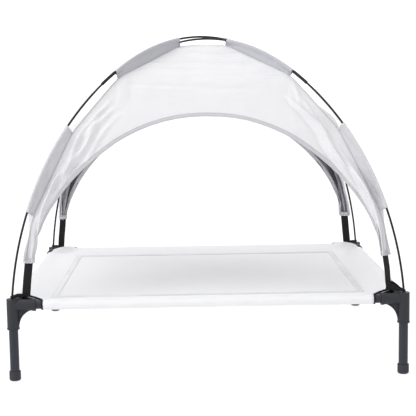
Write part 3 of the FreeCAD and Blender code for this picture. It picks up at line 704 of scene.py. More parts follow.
def panel_wrinkles(chance):
    """Shallow wrinkles that cross a panel nearly level, as signed distance across and down."""
    wrinkles = []
    for _ in range(13):
        centre, down = chance.uniform(-0.17, 0.17), chance.uniform(0.08, 0.34)
        half, tilt = chance.uniform(0.04, 0.12), chance.uniform(-0.12, 0.12) + centre * 0.5
        begin, end = (centre - half, down - tilt * half), (centre + half, down + tilt * half)
        wrinkles.append(Fold(begin, end, chance.uniform(0.007, 0.012), chance.uniform(0.0010, 0.0024)))
    return wrinkles


LEG_TUBE = (0.0118, 0.0048)       # half width and half depth of a leg's gathered end
LEG_TUBE_IN = {"front_left": 0.0460, "front_right": 0.0475, "rear_left": 0.0425, "rear_right": 0.0470}
LEG_TUBE_LEAN = 0.130
LEG_SHIFT = {"front_left": 0.0045, "front_right": -0.0010, "rear_left": 0.0, "rear_right": 0.0}
LEG_RAISE = {"front_left": -0.0040, "front_right": 0.0, "rear_left": 0.0065, "rear_right": 0.0030}
# The rear legs close round less than the front ones, so more of the dark inner face shows there as painted
# shade.
LEG_WRAP = {"front_left": 152, "front_right": 152, "rear_left": 112, "rear_right": 112}
STRAP_TURN = {"front_left": -37, "front_right": 7, "rear_left": 14, "rear_right": -45}
JOINS = {"front_right": ("front", "right"), "rear_right": ("right", "rear"),
         "rear_left": ("rear", "left"), "front_left": ("left", "front")}


def strap_middle(corner, height):
    """Middle of a leg's gathered end, or of its strap, at a height."""
    inward = LEG_TUBE_IN[corner] + (height - LEG_Z) * LEG_TUBE_LEAN
    return on_diagonal(corner, HALF_DIAGONAL - inward, height)


def strap_facing(corner):
    """Way that a strap's face looks: turned from the diagonal by its own angle."""
    turn = Matrix.Rotation(math.radians(-STRAP_TURN[corner]), 3, "Z")
    return turn @ on_diagonal(corner, 1.0, 0.0)


class Side:
    """One of the canopy's four panels: its width, its arch and its folds."""

    def __init__(self, name):
        self.name = name
        self.turn = Matrix.Rotation(math.radians(SIDES[name]), 3, "Z")
        wide = name in ("front", "rear")
        self.width_share = SHARE_X if wide else SHARE_Y
        self.depth_share = SHARE_Y if wide else SHARE_X
        self.half_width = LEG_OUT * self.width_share
        span = self.half_width - LEG_STRIP_W
        drop = ARCH_TOP - LEG_Z
        outline = [(span * across, ARCH_TOP - drop * down) for across, down in ARCH_SHAPE]
        self.arch = rounded(outline, [span * share for share in ARCH_ROUNDING], ROWS)
        chance = random.Random(SIDES[name] + 11)
        strengths = (1.7, 2.0) if name == "front" else (1.8, 1.8)
        self.folds = [half_panel_folds(chance, strength) for strength in strengths]
        self.wrinkles = panel_wrinkles(chance)
        self.phase = [chance.uniform(0, 6) for _ in range(2)]
        self.corners = [next(corner for corner, pair in JOINS.items() if pair[1 - hand] == name)
                        for hand in (0, 1)]
        self.arch_heights = [-point.y for point in self.arch]

    def creases(self, share, across, hand):
        """Height of folds, pleats and wrinkles at a place."""
        from_ridge = max(seam_at(share).x * self.width_share - across, 0.0)
        down = share * SEAM_LENGTH
        sideways = across if hand else -across
        folds = sum(fold.lift(Vector((from_ridge, down))) for fold in self.folds[hand])
        gather = smooth(0.78, 0.97, share)
        pleats = 0.0022 * math.sin(from_ridge / 0.0105 * 2 * math.pi + self.phase[hand] + 3 * share)
        wrinkles = sum(fold.lift(Vector((sideways, down))) for fold in self.wrinkles)
        half_only = smooth(0.0, 0.05, across) * (folds + gather * pleats)
        return smooth(0.0, 0.012, from_ridge) * (half_only + wrinkles)

    def relief(self, share, across, hand):
        """How far the cloth stands out from the plane between its ridges."""
        ridge = seam_at(share).x * self.width_share
        hollow = -0.0045 * (1 - (across / max(ridge, 1e-4)) ** 2) * smooth(0.05, 0.3, share)
        sideways = across if hand else -across
        crumple = 0.0009 * noise.noise(Vector((sideways * 26, share * 16, SIDES[self.name])))
        return hollow + self.creases(share, across, hand) + smooth(0, 0.03, ridge - across) * crumple

    def point(self, share, across, hand, lift=0.0):
        """Place on the cloth; hand is 0 on the left half and 1 on the right, seen from outside."""
        here = seam_at(share)
        slope = seam_at(share + 0.004) - seam_at(share - 0.004)
        normal = Vector((0, slope.y, slope.x * self.depth_share)).normalized()
        lift += self.relief(share, across, hand)
        sideways = across if hand else -across
        flat = Vector((sideways, -here.x * self.depth_share, here.y))
        place = self.turn @ (flat + normal * lift)
        closing = smooth(0.86, 0.985, share)
        if closing > 0:
            place = place.lerp(self.leg_end(here, across, hand, lift), closing)
        return place

    def strip_width(self, height):
        """Width of the strip between the ridge and the arch's edge at a height."""
        index = min(max(bisect.bisect_left(self.arch_heights, -height), 1), ROWS)
        return seam_at(seam_share(height)).x * self.width_share - self.arch[index].x

    def leg_end(self, here, across, hand, lift):
        """Place on the gathered end of a leg, which closes round its strap."""
        corner = self.corners[hand]
        from_ridge = here.x * self.width_share - across
        spare = max(self.strip_width(here.y) - LEG_STRIP_W, 0.0)
        most = math.radians(LEG_WRAP[corner] + (86 - LEG_WRAP[corner]) * smooth(0.0, 0.022, spare))
        wrap = most * min(from_ridge / max(self.strip_width(here.y), 0.004), 1.05)
        out = strap_facing(corner)
        beside = UP.cross(out) * (-1 if hand else 1)
        lift += 0.0010 * math.sin(wrap * 6.5 + self.phase[hand] + 30 * here.y)
        wide = LEG_TUBE[0] + 0.78 * spare + lift
        deep = LEG_TUBE[1] + 0.34 * spare + lift
        height = here.y + LEG_RAISE[corner] * smooth(LEG_Z + 0.12, LEG_Z, here.y)
        place = strap_middle(corner, height) - out * 0.10 * spare
        place.x += LEG_SHIFT[corner] * smooth(LEG_Z + 0.010, LEG_Z + 0.045, height)
        return place + beside * wide * math.sin(wrap) + out * deep * math.cos(wrap)

    def edge(self, row):
        """The arch's edge at a row: share down the ridge and distance across."""
        return seam_share(self.arch[row].y), self.arch[row].x

    def at(self, row, column):
        """Share and distance across at a place in the half panel's grid."""
        ridge_share = row / ROWS
        edge_share, edge_across = self.edge(row)
        part = column / COLUMNS
        ridge_across = seam_at(ridge_share).x * self.width_share
        return (ridge_share + (edge_share - ridge_share) * part,
                ridge_across + (edge_across - ridge_across) * part)


ROWS = 126
COLUMNS = 42
PANELS = {name: Side(name) for name in SIDES}


def canopy_cloth():
    """The whole canopy as one sheet: eight half panels joined at the ridges and down their middles."""
    points, faces, uvs, heights = [], [], [], []
    for panel in PANELS.values():
        for hand in (0, 1):
            start = len(points)
            for row in range(ROWS + 1):
                for column in range(COLUMNS + 1):
                    share, across = panel.at(row, column)
                    points.append(panel.point(share, across, hand))
                    uvs.append((across if hand else -across, share * SEAM_LENGTH))
                    heights.append(panel.creases(share, across, hand))
            new = grid_faces(ROWS + 1, COLUMNS + 1, start)
            faces += new if hand else [face[::-1] for face in new]
    mesh = mesh_of("canopy_cloth", points, faces, uvs)
    # Fold heights go on the mesh as an attribute, which the canopy cloth's material turns into painted shade
    # in the valleys.
    mesh.attributes.new("crease", "FLOAT", "POINT").data.foreach_set("value", heights)
    mesh = tidy(mesh, 2e-5, outward=False)
    cloth = add_object("canopy_cloth", mesh, CANOPY, CANOPY_CLOTH)
    # The inner face takes the dark lining colour, which partly stands as painted shade inside the canopy.
    cloth.data.materials.append(CANOPY_LINING_AND_SHADE)
    thicken(cloth, CLOTH_T, inside=1, even=False)
    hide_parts(*["canopy_panel_" + side for side in SIDES])
    return cloth


canopy = canopy_cloth()


def outward(panel, share, across, hand):
    return (panel.point(share, across, hand, 0.002) - panel.point(share, across, hand)).normalized()


def edge_inset(panel, row, hand, inset):
    """Place on the cloth a little way in from the arch's edge, and the way it faces."""
    edge = panel.point(*panel.at(row, COLUMNS), hand)
    inner = panel.point(*panel.at(row, COLUMNS - 4), hand)
    place = edge + (inner - edge).normalized() * inset
    return place, outward(panel, *panel.at(row, COLUMNS), hand)


def along_arch(panel, inset):
    """Places and facings from the left leg's end, over the arch, to the right leg's end."""
    rows = [(row, 0) for row in range(ROWS, 0, -1)] + [(row, 1) for row in range(ROWS + 1)]
    return zip(*[edge_inset(panel, row, hand, inset) for row, hand in rows])


HEM_W = 0.0105
HEM_T = 0.0022


def arch_hems():
    """Each arch's edge, turned in and sewn down as a doubled band."""
    for side, panel in PANELS.items():
        path, outs = along_arch(panel, HEM_W / 2 - 0.0006)
        mesh = band_mesh("arch_hem_" + side, path, outs, HEM_W, HEM_T, offset=-CLOTH_T / 2)
        # The hem's darker colour is painted shade along the arch's edge.
        hem = add_object("arch_hem_" + side, mesh, CANOPY, CANOPY_HEM_PAINTED_SHADE)
        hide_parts("canopy_hem_" + side)


CUFF_W = 0.0115


def round_leg(corner, above, grow=0.0):
    """Closed ring of places and facings round a leg's gathered end, some way above its edge."""
    out = strap_facing(corner)
    beside = UP.cross(out)
    places, outs = [], []
    for step in range(40):
        angle = step / 40 * 2 * math.pi
        crinkle = 0.0007 * math.sin(angle * 9 + len(corner)) + 0.0003 * math.sin(angle * 17) + grow
        middle = strap_middle(corner, LEG_Z + LEG_RAISE[corner] + above)
        places.append(middle + beside * (LEG_TUBE[0] + crinkle) * math.sin(angle)
                      + out * (LEG_TUBE[1] + crinkle) * math.cos(angle))
        facing = beside * LEG_TUBE[1] * math.sin(angle) + out * LEG_TUBE[0] * math.cos(angle)
        outs.append(facing.normalized())
    return places, outs


def leg_cuffs():
    """Gathered end of each leg, bound with a crinkled band."""
    for corner in CORNERS:
        path, outs = round_leg(corner, CUFF_W / 2 - 0.001)
        chance = random.Random(len(corner) * 5 + CORNERS[corner][0])
        widths = [chance.uniform(0.93, 1.08) for _ in path]
        mesh = band_mesh("leg_cuff_" + corner, path, outs, CUFF_W, 0.0026, widths, closed=True)
        cuff = add_object("leg_cuff_" + corner, mesh, CANOPY, CUFF_CLOTH)


def ridge_seams():
    """Piped ridge of the canopy and, inside it, the seam's allowance."""
    for corner in CORNERS:
        path, outs, inner, sides = [], [], [], []
        for step in range(0, len(SEAM), 3):
            here = SEAM[step]
            slope = seam_at((step + 1) / len(SEAM)) - seam_at((step - 1) / len(SEAM))
            normal = Vector((-slope.y, slope.x)).normalized()
            path.append(on_diagonal(corner, *here))
            outs.append(on_diagonal(corner, *normal))
            inner.append(on_diagonal(corner, *(here - normal * 0.0052)))
            sides.append(on_diagonal(corner, 0, 0, 1.0))
        piping = band_mesh("ridge", path, outs, 0.0034, 0.0020)
        start = 12
        allowance = band_mesh("allowance", inner[start:], sides[start:], 0.0080, 0.0016)
        mesh = join_meshes("ridge_seam_" + corner, [piping, allowance])
        # The piping and allowance take the hem's darker colour, painted shade along the ridge.
        add_object("ridge_seam_" + corner, mesh, CANOPY, CANOPY_HEM_PAINTED_SHADE)


# ================================================================ pole sleeves
SLEEVE_TUBE_R = 0.0036
SLEEVE_PLY = 0.0009


def sleeve_outline(width):
    """Half outline of a sleeve's section: distance from the pole's axis and half thickness."""
    web = [(width * share, SLEEVE_PLY) for share in (1.0, 0.88, 0.76, 0.64, 0.52, 0.42)]
    neck = [(0.0072, 0.0014), (0.0054, 0.0022)]
    tube = [(SLEEVE_TUBE_R * math.cos(angle), SLEEVE_TUBE_R * math.sin(angle))
            for angle in (math.radians(step) for step in range(50, 176, 25))]
    return web + neck + tube + [(-SLEEVE_TUBE_R, 0.0)]


class Sleeve:
    """Two plies of cloth folded round the pole, closed along the ridge seam."""

    def __init__(self, corner, level, stretch, width):
        self.corner = corner
        self.level = level
        self.stretch = stretch
        self.length = stretch[1] - stretch[0]
        self.seed = 10 * len(corner) + (5 if level == "upper" else 0)
        self.ends = []
        for distance in stretch:
            on_pole, inward = POLES["b"].at(distance)
            self.ends.append(on_pole + inward * width)

    def frame_at(self, share):
        """Pole's axis, the way in to the seam, and how far in the seam lies."""
        axis, _ = pole_of(self.corner).at(self.stretch[0] + self.length * share)
        reach = self.ends[0].lerp(self.ends[1], share) - axis
        return axis, reach.normalized(), reach.length

    def point(self, share, away, thick, side):
        """Place on one ply, at a distance from the pole's axis towards the seam."""
        axis, inward, reach = self.frame_at(share)
        end_near = min(share, 1 - share) * self.length
        hem = 1 + 0.35 * (1 - smooth(0.007, 0.010, end_near))
        part = min(max(away / reach, 0.0), 1.0)
        ripple = noise.noise(Vector((share * 9 + self.seed, part * 2.2, self.seed * 0.7))) * 0.0022
        ripple += 0.0016 * (1 - smooth(0.0, 0.05, end_near)) * math.sin(part * 15 + self.seed + share * 20)
        flare = 1 + 0.10 * noise.noise(Vector((share * 22, self.seed, away * 120 * side)))
        place = axis + inward * away
        lift = side * thick * hem * flare + ripple * math.sin(math.pi * part)
        return on_diagonal(self.corner, place.x, place.y, lift)

    def build(self):
        points, uvs = [], []
        steps = 56
        for step in range(steps + 1):
            share = step / steps
            outline = sleeve_outline(self.frame_at(share)[2])
            whole = [(a, h, 1) for a, h in outline] + [(a, h, -1) for a, h in outline[-2::-1]]
            for index, (away, thick, side) in enumerate(whole):
                points.append(self.point(share, away, thick, side))
                uvs.append((self.length * share, index * 0.0022))
        columns = 2 * len(sleeve_outline(0.02)) - 1
        name = "_".join(("pole_sleeve", self.level, self.corner))
        mesh = tidy(mesh_of(name, points, grid_faces(steps + 1, columns, wrap=True), uvs))
        sleeve = add_object(name, mesh, CANOPY, SLEEVE_CLOTH[self.level])
        thicken(sleeve, 0.0005, even=False)
        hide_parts(name)

    def seam_rows(self):
        """Rows of stitches on both plies: along the seam and across each end."""
        rows = []
        for side in (1, -1):
            rows.append([self.sewn(share / 60, -0.0022, side) for share in range(1, 60)])
            for share in (0.0050 / self.length, 1 - 0.0050 / self.length):
                reach = self.frame_at(share)[2]
                rows.append([self.sewn(share, -part / 10 * (reach - 0.0065) - 0.001, side)
                             for part in range(11)])
        return rows

    def sewn(self, share, from_seam, side):
        reach = self.frame_at(share)[2]
        place = self.point(share, reach + from_seam, SLEEVE_PLY + 0.0001, side)
        return place, on_diagonal(self.corner, 0, 0, side)


def pole_sleeves():
    """All eight sleeves; returns the rows of stitches on them."""
    rows = []
    for corner in CORNERS:
        for sleeve in (Sleeve(corner, "upper", UPPER_SLEEVE, UPPER_SLEEVE_W),
                       Sleeve(corner, "lower", LOWER_SLEEVE, LOWER_SLEEVE_W)):
            sleeve.build()
            rows += sleeve.seam_rows()
    return rows


# ================================================================ straps
STRAP_W = 0.020
STRAP_T = 0.0016


LOOP_RISE = {"front_left": 0.0020, "front_right": 0.0165, "rear_left": 0.0005, "rear_right": 0.0005}


def strap(corner):
    """Webbing sewn up inside a leg, down to the fitting, and folded into a loop round the pole's foot."""
    foot_z = FITTING_TOP + 0.0010
    top_z = LEG_Z + LEG_RAISE[corner] + 0.009
    facing = strap_facing(corner)
    steps = 34
    path = []
    for step in range(steps + 1):
        share = step / steps
        wave = 0.0008 * math.sin(share * 7 + len(corner)) * math.sin(math.pi * share)
        path.append(strap_middle(corner, top_z + (foot_z + 0.001 - top_z) * share) + facing * wave)
    band = band_mesh("band", path, [facing + UP * 0.1] * len(path), STRAP_W, STRAP_T)
    ending = path[-1]
    side = UP.cross(facing) * (STRAP_W / 2 * 0.86)
    centre = on_diagonal(corner, HALF_DIAGONAL, 0.0)
    along = on_diagonal(corner, 1.0, 0.0)
    across = UP.cross(along)
    ring = POLE_D / 2 + 0.0014
    turns = [centre + along * ring * math.sin(angle) + across * ring * math.cos(angle)
             for angle in (math.radians(step) for step in range(0, 181, 20))]
    flat_end = Vector((ending.x, ending.y, 0)) + along * 0.0002
    plan = [flat_end + side, centre - along * 0.013 + across * 0.0050] + turns
    plan += [centre - along * 0.013 - across * 0.0050, flat_end - side]
    plan = evenly(plan, 48)
    loop_path, loop_outs, heights = [], [], []
    reach = (flat_end - centre).length
    for index, point in enumerate(plan):
        nearness = min(max((point - centre).length - 0.006, 0) / (reach - 0.006), 1.0)
        height = 0.0046 + LOOP_RISE[corner] * nearness
        run = (plan[min(index + 1, len(plan) - 1)] - plan[max(index - 1, 0)]).normalized()
        ripple = 0.0006 * (1 + math.sin(index * 0.55 + len(corner)))
        lean = along * (-LEG_TUBE_LEAN * 0.7 * height * nearness)
        loop_path.append(point + lean + UP * (foot_z + height / 2 + ripple))
        loop_outs.append(UP.cross(run) + UP * 0.12 * math.sin(index * 0.4))
        heights.append(height / STRAP_W)
    loop = band_mesh("loop", loop_path, loop_outs, STRAP_W, 0.0013, heights)
    mesh = join_meshes("strap_" + corner, [band, loop])
    piece = add_object("strap_" + corner, mesh, CANOPY, WEBBING)
    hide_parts("strap_" + corner)


# ================================================================ bed cover
def cover_height(x, y):
    """Top of the cover: flat inside the tape, rising to the rails' tops, with a lip along each cut corner."""
    dx = (abs(x) - DECK_X) / (HALF_X - DECK_X)
    dy = (abs(y) - DECK_Y) / (HALF_Y - DECK_Y)
    cut_share = (HALF_Y - COVER_CUT - DECK_Y) / (HALF_Y - DECK_Y)
    corner = (max(dx, 0) + max(dy, 0)) / (1 + cut_share)
    ramp = max(dx, dy, corner if min(dx, dy) > 0 else 0.0, 0.0)
    rise = RAIL_Z + SLEEVE_D / 2 - DECK_Z
    from_cut = (HALF_X + HALF_Y - COVER_CUT - abs(x) - abs(y)) / math.sqrt(2)
    across_cut = (abs(x) - HALF_X - abs(y) + HALF_Y) / (2 * COVER_CUT) + 0.5
    arc = math.sqrt(max(4 * across_cut * (1 - across_cut), 0.0))
    lip_rise = 0.0095 if y > 0 else 0.0050
    lip = arc * (lip_rise * math.exp(-abs(from_cut) / 0.007)
                 - 0.0042 * math.exp(-((from_cut - 0.020) / 0.012) ** 2))
    sag = 0.0016 * max(1 - (x / DECK_X) ** 2, 0.0) * max(1 - (y / DECK_Y) ** 2, 0.0)
    pull = 0.0006 * noise.noise(Vector((x * 7, y * 7, 3.0))) * min(1.0, 4 * abs(1 - ramp))
    return DECK_Z + rise * min(ramp, 1.0) + lip - sag + pull


def stations(keys, step):
    """Values from the first key to the last that hit every key, about a step apart."""
    found = [keys[0]]
    for here, there in zip(keys, keys[1:]):
        count = max(1, round((there - here) / step))
        found += [here + (there - here) * part / count for part in range(1, count + 1)]
    return found


def bed_cover():
    """The whole cover as one sheet: deck, cut corners and a pocket round each rail."""
    cut_x, cut_y = HALF_X - COVER_CUT, HALF_Y - COVER_CUT
    xs = stations([-HALF_X, -cut_x, -DECK_X, DECK_X, cut_x, HALF_X], 0.009)
    ys = stations([-HALF_Y, -cut_y, -DECK_Y, DECK_Y, cut_y, HALF_Y], 0.009)
    points = [(x, y, cover_height(x, y)) for y in ys for x in xs]
    uvs = [(x, y) for y in ys for x in xs]
    shape = bmesh.new()
    deck = mesh_of("deck", points, grid_faces(len(ys), len(xs)), uvs)
    shape.from_mesh(deck)
    bpy.data.meshes.remove(deck)
    for sign_x, sign_y in CORNERS.values():
        bmesh.ops.bisect_plane(
            shape, geom=shape.verts[:] + shape.edges[:] + shape.faces[:], dist=1e-6,
            plane_co=(sign_x * cut_x, sign_y * HALF_Y, 0), plane_no=(sign_x, sign_y, 0), clear_outer=True)
    flat = bpy.data.meshes.new("flat")
    shape.to_mesh(flat)
    shape.free()
    meshes = [flat]
    for side, angle in SIDES.items():
        wide = side in ("front", "rear")
        end = cut_x if wide else cut_y
        keys = [value for value in (xs if wide else ys) if abs(value) <= end + 1e-6]
        meshes.append(rail_pocket(keys, HALF_Y if wide else HALF_X, math.radians(angle),
                                  DECK_Y if wide else DECK_X))
    mesh = tidy(join_meshes("bed_cover", meshes), 2e-5, outward=False)
    cover = add_object("bed_cover", mesh, BED, DECK_MESH)
    thicken(cover, COVER_T)
    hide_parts("deck_sheet", *["rail_sleeve_" + side for side in SIDES])
    return cover


def rail_pocket(keys, rail_at, angle, tape_at):
    """Sheet from a rail's top round its outside and back below to the tape, facing -Y before its turn."""
    turn = Matrix.Rotation(angle, 3, "Z")
    radius = SLEEVE_D / 2
    section = []
    for step in range(0, 17):
        heading = math.radians(90 + 12 * step)
        section.append((-rail_at + radius * math.cos(heading), RAIL_Z + radius * math.sin(heading)))
    foot_y, foot_z = section[-1]
    for step in range(1, 9):
        share = step / 8
        section.append((foot_y + (-tape_at - 0.004 - foot_y) * share,
                        foot_z + (DECK_Z - 0.0035 - foot_z) * share))
    rows, uvs = [], []
    for index, (y, z) in enumerate(section):
        for x in keys:
            slack = 0.0005 * noise.noise(Vector((x * 20, index * 0.35, angle * 3))) * min(index, 6) / 6
            out_y = slack * (y + rail_at) / radius
            world = turn @ Vector((x, y + out_y, z + slack * 0.5))
            rows.append(world)
            uvs.append((x, -rail_at - index * 0.0024))
    rim = {(round(point.x, 5), round(point.y, 5)): point for point in rows[:len(keys)]}
    for point in rim.values():
        point.z = cover_height(point.x, point.y)
    return mesh_of("pocket", rows, [face[::-1] for face in grid_faces(len(section), len(keys))], uvs)


def deck_tape():
    """White tape sewn round the flat of the deck, mitred at its corners."""
    width, thickness = 0.015, 0.0011
    mid_x, mid_y = DECK_X - width / 2, DECK_Y - width / 2
    ring = [(-mid_x, -mid_y), (mid_x, -mid_y), (mid_x, mid_y), (-mid_x, mid_y), (-mid_x, -mid_y)]
    path, widths = [], []
    for (x0, y0), (x1, y1) in zip(ring, ring[1:]):
        count = round(math.hypot(x1 - x0, y1 - y0) / 0.012)
        for step in range(count):
            x = x0 + (x1 - x0) * step / count
            y = y0 + (y1 - y0) * step / count
            path.append(Vector((x, y, cover_height(x, y) + thickness / 2)))
            widths.append(1.0 if step else math.sqrt(2))
    mesh = band_mesh("deck_tape", path, [UP] * len(path), width, thickness, widths, closed=True)
    tape = add_object("deck_tape", mesh, BED, WHITE_TAPE)
    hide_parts("deck_tape")
    return tape


def corner_binding(corner):
    """Black binding: round one pocket's end, over the cut corner and round the other pocket's end."""
    sign_x, sign_y = CORNERS[corner]
    cut_x, cut_y = HALF_X - COVER_CUT, HALF_Y - COVER_CUT
    radius = SLEEVE_D / 2 - COVER_T / 2
    path, outs = [], []
    for degrees in range(-100, 91, 10):
        angle = math.radians(degrees)
        path.append(Vector((cut_x, HALF_Y + radius * math.cos(angle), RAIL_Z + radius * math.sin(angle))))
        outs.append(Vector((0, math.cos(angle), math.sin(angle))))
    outward_cut = Vector((1, 1, 0)).normalized()
    for step in range(1, 20):
        share = step / 20
        x, y = cut_x + (HALF_X - cut_x) * share, HALF_Y + (cut_y - HALF_Y) * share
        lip_z = cover_height(x * sign_x, y * sign_y) - 0.0026
        path.append(Vector((x, y, lip_z)) + outward_cut * 0.0010)
        outs.append(outward_cut + UP * 0.25)
    for degrees in range(90, -101, -10):
        angle = math.radians(degrees)
        path.append(Vector((HALF_X + radius * math.cos(angle), cut_y, RAIL_Z + radius * math.sin(angle))))
        outs.append(Vector((math.cos(angle), 0, math.sin(angle))))
    for _ in range(2):
        eased = [(a + b * 2 + c) / 4 for a, b, c in zip(path, path[1:], path[2:])]
        turned = [(a + b + c).normalized() for a, b, c in zip(outs, outs[1:], outs[2:])]
        path = [path[0]] + eased + [path[-1]]
        outs = [outs[0]] + turned + [outs[-1]]
    place = Vector((sign_x, sign_y, 1))
    path = [point * place for point in path]
    outs = [out * place for out in outs]
    mesh = tidy(band_mesh("corner_binding_" + corner, path, outs, 0.0046, 0.0025))
    binding = add_object("corner_binding_" + corner, mesh, BED, BLACK_BINDING)
    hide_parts("corner_binding_" + corner)
    return binding


# ================================================================ stitches
def stitch_tree():
    """Stitches at equal steps along edges; each lies along its edge and flat to the attribute "out"."""
    tree = bpy.data.node_groups.new("stitches", "GeometryNodeTree")
    face = tree.interface
    face.new_socket("Rows", in_out="INPUT", socket_type="NodeSocketGeometry")
    sizes = (("Spacing", 0.0034), ("Length", 0.0026), ("Thickness", 0.0006), ("Unevenness", 0.10))
    for label, value in sizes:
        face.new_socket(label, in_out="INPUT", socket_type="NodeSocketFloat").default_value = value
    face.new_socket("Seed", in_out="INPUT", socket_type="NodeSocketInt").default_value = 5
    face.new_socket("Thread", in_out="INPUT", socket_type="NodeSocketMaterial")
    face.new_socket("Stitches", in_out="OUTPUT", socket_type="NodeSocketGeometry")
    given = tree.nodes.new("NodeGroupInput")
    result = tree.nodes.new("NodeGroupOutput")
    link = tree.links.new
    curve = tree.nodes.new("GeometryNodeMeshToCurve")
    link(given.outputs["Rows"], curve.inputs["Mesh"])
    steps = tree.nodes.new("GeometryNodeResampleCurve")
    steps.mode = "LENGTH"
    link(curve.outputs["Curve"], steps.inputs["Curve"])
    link(given.outputs["Spacing"], steps.inputs["Length"])
    thread = tree.nodes.new("GeometryNodeMeshIcoSphere")
    thread.inputs["Radius"].default_value = 0.5
    thread.inputs["Subdivisions"].default_value = 1
    tangent = tree.nodes.new("GeometryNodeInputTangent")
    along = tree.nodes.new("FunctionNodeAlignEulerToVector")
    along.axis = "X"
    link(tangent.outputs["Tangent"], along.inputs["Vector"])
    out = tree.nodes.new("GeometryNodeInputNamedAttribute")
    out.data_type = "FLOAT_VECTOR"
    out.inputs["Name"].default_value = "out"
    flat = tree.nodes.new("FunctionNodeAlignEulerToVector")
    flat.axis = "Z"
    flat.pivot_axis = "X"
    link(along.outputs["Rotation"], flat.inputs["Rotation"])
    link(out.outputs["Attribute"], flat.inputs["Vector"])
    uneven = tree.nodes.new("FunctionNodeRandomValue")
    uneven.data_type = "FLOAT"
    link(math_node(tree, "SUBTRACT", 1.0, given.outputs["Unevenness"]), uneven.inputs[2])
    link(math_node(tree, "ADD", 1.0, given.outputs["Unevenness"]), uneven.inputs[3])
    link(given.outputs["Seed"], uneven.inputs["Seed"])
    size = tree.nodes.new("ShaderNodeCombineXYZ")
    link(math_node(tree, "MULTIPLY", given.outputs["Length"], uneven.outputs[1]), size.inputs[0])
    link(given.outputs["Thickness"], size.inputs[1])
    link(math_node(tree, "MULTIPLY", given.outputs["Thickness"], 0.8), size.inputs[2])
    place = tree.nodes.new("GeometryNodeInstanceOnPoints")
    link(steps.outputs["Curve"], place.inputs["Points"])
    link(thread.outputs["Mesh"], place.inputs["Instance"])
    link(flat.outputs["Rotation"], place.inputs["Rotation"])
    link(size.outputs[0], place.inputs["Scale"])
    real = tree.nodes.new("GeometryNodeRealizeInstances")
    link(place.outputs["Instances"], real.inputs["Geometry"])
    dressed = tree.nodes.new("GeometryNodeSetMaterial")
    link(real.outputs["Geometry"], dressed.inputs["Geometry"])
    link(given.outputs["Thread"], dressed.inputs["Material"])
    link(dressed.outputs["Geometry"], result.inputs["Stitches"])
    return tree


STITCHES = stitch_tree()


def stitches(name, rows, body, material, seed):
    """One plain mesh of every stitch along rows of (place, out) pairs."""
    points, edges, outs = [], [], []
    for row in rows:
        start = len(points)
        points += [tuple(place) for place, _ in row]
        outs += [value for _, out in row for value in out]
        edges += [(start + step, start + step + 1) for step in range(len(row) - 1)]
    mesh = bpy.data.meshes.new(name + "_rows")
    mesh.from_pydata(points, edges, [])
    mesh.attributes.new("out", "FLOAT_VECTOR", "POINT").data.foreach_set("vector", outs)
    maker = bpy.data.objects.new(name + "_rows", mesh)
    bpy.context.scene.collection.objects.link(maker)
    sewing = maker.modifiers.new("stitches", "NODES")
    sewing.node_group = STITCHES
    for item in STITCHES.interface.items_tree:
        if item.in_out == "INPUT" and item.name == "Seed":
            sewing[item.identifier] = seed
        if item.in_out == "INPUT" and item.name == "Thread":
            sewing[item.identifier] = material
    depsgraph = bpy.context.evaluated_depsgraph_get()
    sewn = bpy.data.meshes.new_from_object(maker.evaluated_get(depsgraph))
    bpy.data.objects.remove(maker)
    bpy.data.meshes.remove(mesh)
    sewn.name = name
    return add_object(name, sewn, body, material)


def canopy_rows():
    """Rows on the canopy: two along every arch's hem and one round every cuff."""
    rows = []
    for panel in PANELS.values():
        for inset in (0.0016, HEM_W - 0.0030):
            places, outs = along_arch(panel, inset)
            rows.append([(place + out * (HEM_T / 2 - CLOTH_T / 2), out) for place, out in zip(places, outs)])
    for corner in CORNERS:
        places, outs = round_leg(corner, CUFF_W - 0.004, 0.0014)
        rows.append(list(zip(places + places[:1], outs + outs[:1])))
    return rows


def tape_rows():
    """Two rows along each side of the deck's tape."""
    rows = []
    for inset in (0.0016, 0.0134):
        x, y = DECK_X - inset, DECK_Y - inset
        ring = [(-x, -y), (x, -y), (x, y), (-x, y), (-x, -y)]
        for (x0, y0), (x1, y1) in zip(ring, ring[1:]):
            row = []
            for step in range(61):
                at_x, at_y = x0 + (x1 - x0) * step / 60, y0 + (y1 - y0) * step / 60
                row.append((Vector((at_x, at_y, cover_height(at_x, at_y) + 0.0012)), UP))
            rows.append(row)
    return rows


arch_hems()
leg_cuffs()
ridge_seams()
sleeve_rows = pole_sleeves()
for corner_name in CORNERS:
    strap(corner_name)
# The canopy's rows are sewn in grey thread, which also stands as painted shadow along the seams.
stitches("canopy_stitches", canopy_rows() + sleeve_rows, CANOPY,
                          GREY_THREAD_SEAM_SHADOW, 3)
cover = bed_cover()
tape = deck_tape()
tape_stitches = stitches("tape_stitches", tape_rows(), BED, THREAD, 4)
bindings = [corner_binding(corner_name) for corner_name in CORNERS]


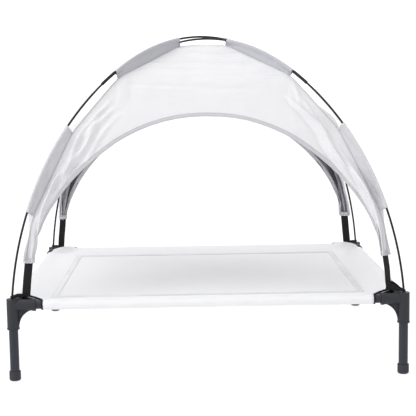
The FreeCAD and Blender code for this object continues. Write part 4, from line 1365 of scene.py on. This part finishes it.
# ================================================================ light and floor
def floor():
    mesh = bpy.data.meshes.new("floor")
    far = 40.0
    mesh.from_pydata([(-far, -far, 0), (far, -far, 0), (far, far, 0), (-far, far, 0)], [], [(0, 1, 2, 3)])
    ground = bpy.data.objects.new("floor", mesh)
    bpy.context.scene.collection.objects.link(ground)
    finish = Finish("pale floor", 0.9)
    finish.shader.inputs["Base Color"].default_value = (0.30, 0.30, 0.30, 1)
    finish.shader.inputs["Emission Color"].default_value = (1, 1, 1, 1)
    finish.shader.inputs["Emission Strength"].default_value = 0.74
    mesh.materials.append(finish.material)
    ground.location.z = -0.0005


def soft_light(name, place, size, power, aim):
    lamp = bpy.data.objects.new(name, bpy.data.lights.new(name, "AREA"))
    bpy.context.scene.collection.objects.link(lamp)
    lamp.data.size = size
    lamp.data.energy = power
    lamp.location = place
    lamp.rotation_euler = (Vector(aim) - Vector(place)).to_track_quat("-Z", "Y").to_euler()


def studio():
    """White surroundings, a little brighter on the left and behind, and four soft lamps."""
    world = bpy.data.worlds.new("studio")
    bpy.context.scene.world = world
    world.use_nodes = True
    tree = world.node_tree
    background = tree.nodes["Background"]
    split = tree.nodes.new("ShaderNodeSeparateXYZ")
    tree.links.new(tree.nodes.new("ShaderNodeTexCoord").outputs["Generated"], split.inputs[0])
    back = math_node(tree, "MULTIPLY_ADD", split.outputs[1], 0.06, 0.93)
    side = math_node(tree, "MULTIPLY_ADD", split.outputs[0], -0.10, back)
    seen = tree.nodes.new("ShaderNodeLightPath").outputs["Is Camera Ray"]
    tree.links.new(math_node(tree, "MULTIPLY_ADD", seen, 0.4, side), background.inputs["Strength"])
    background.inputs["Color"].default_value = (1, 1, 1, 1)
    soft_light("overhead", (-0.5, -0.5, 3.2), 2.4, 28, (0, 0, 0.4))
    soft_light("left", (-2.8, -1.4, 1.3), 1.6, 24, (0, 0, 0.3))
    soft_light("front", (-0.3, -3.4, 1.7), 1.8, 5, (0, 0, 0.3))
    soft_light("behind", (0.2, 2.6, 1.2), 1.2, 14, (0, 0, 0.2))
    bpy.context.scene.view_settings.view_transform = "Standard"


floor()
studio()
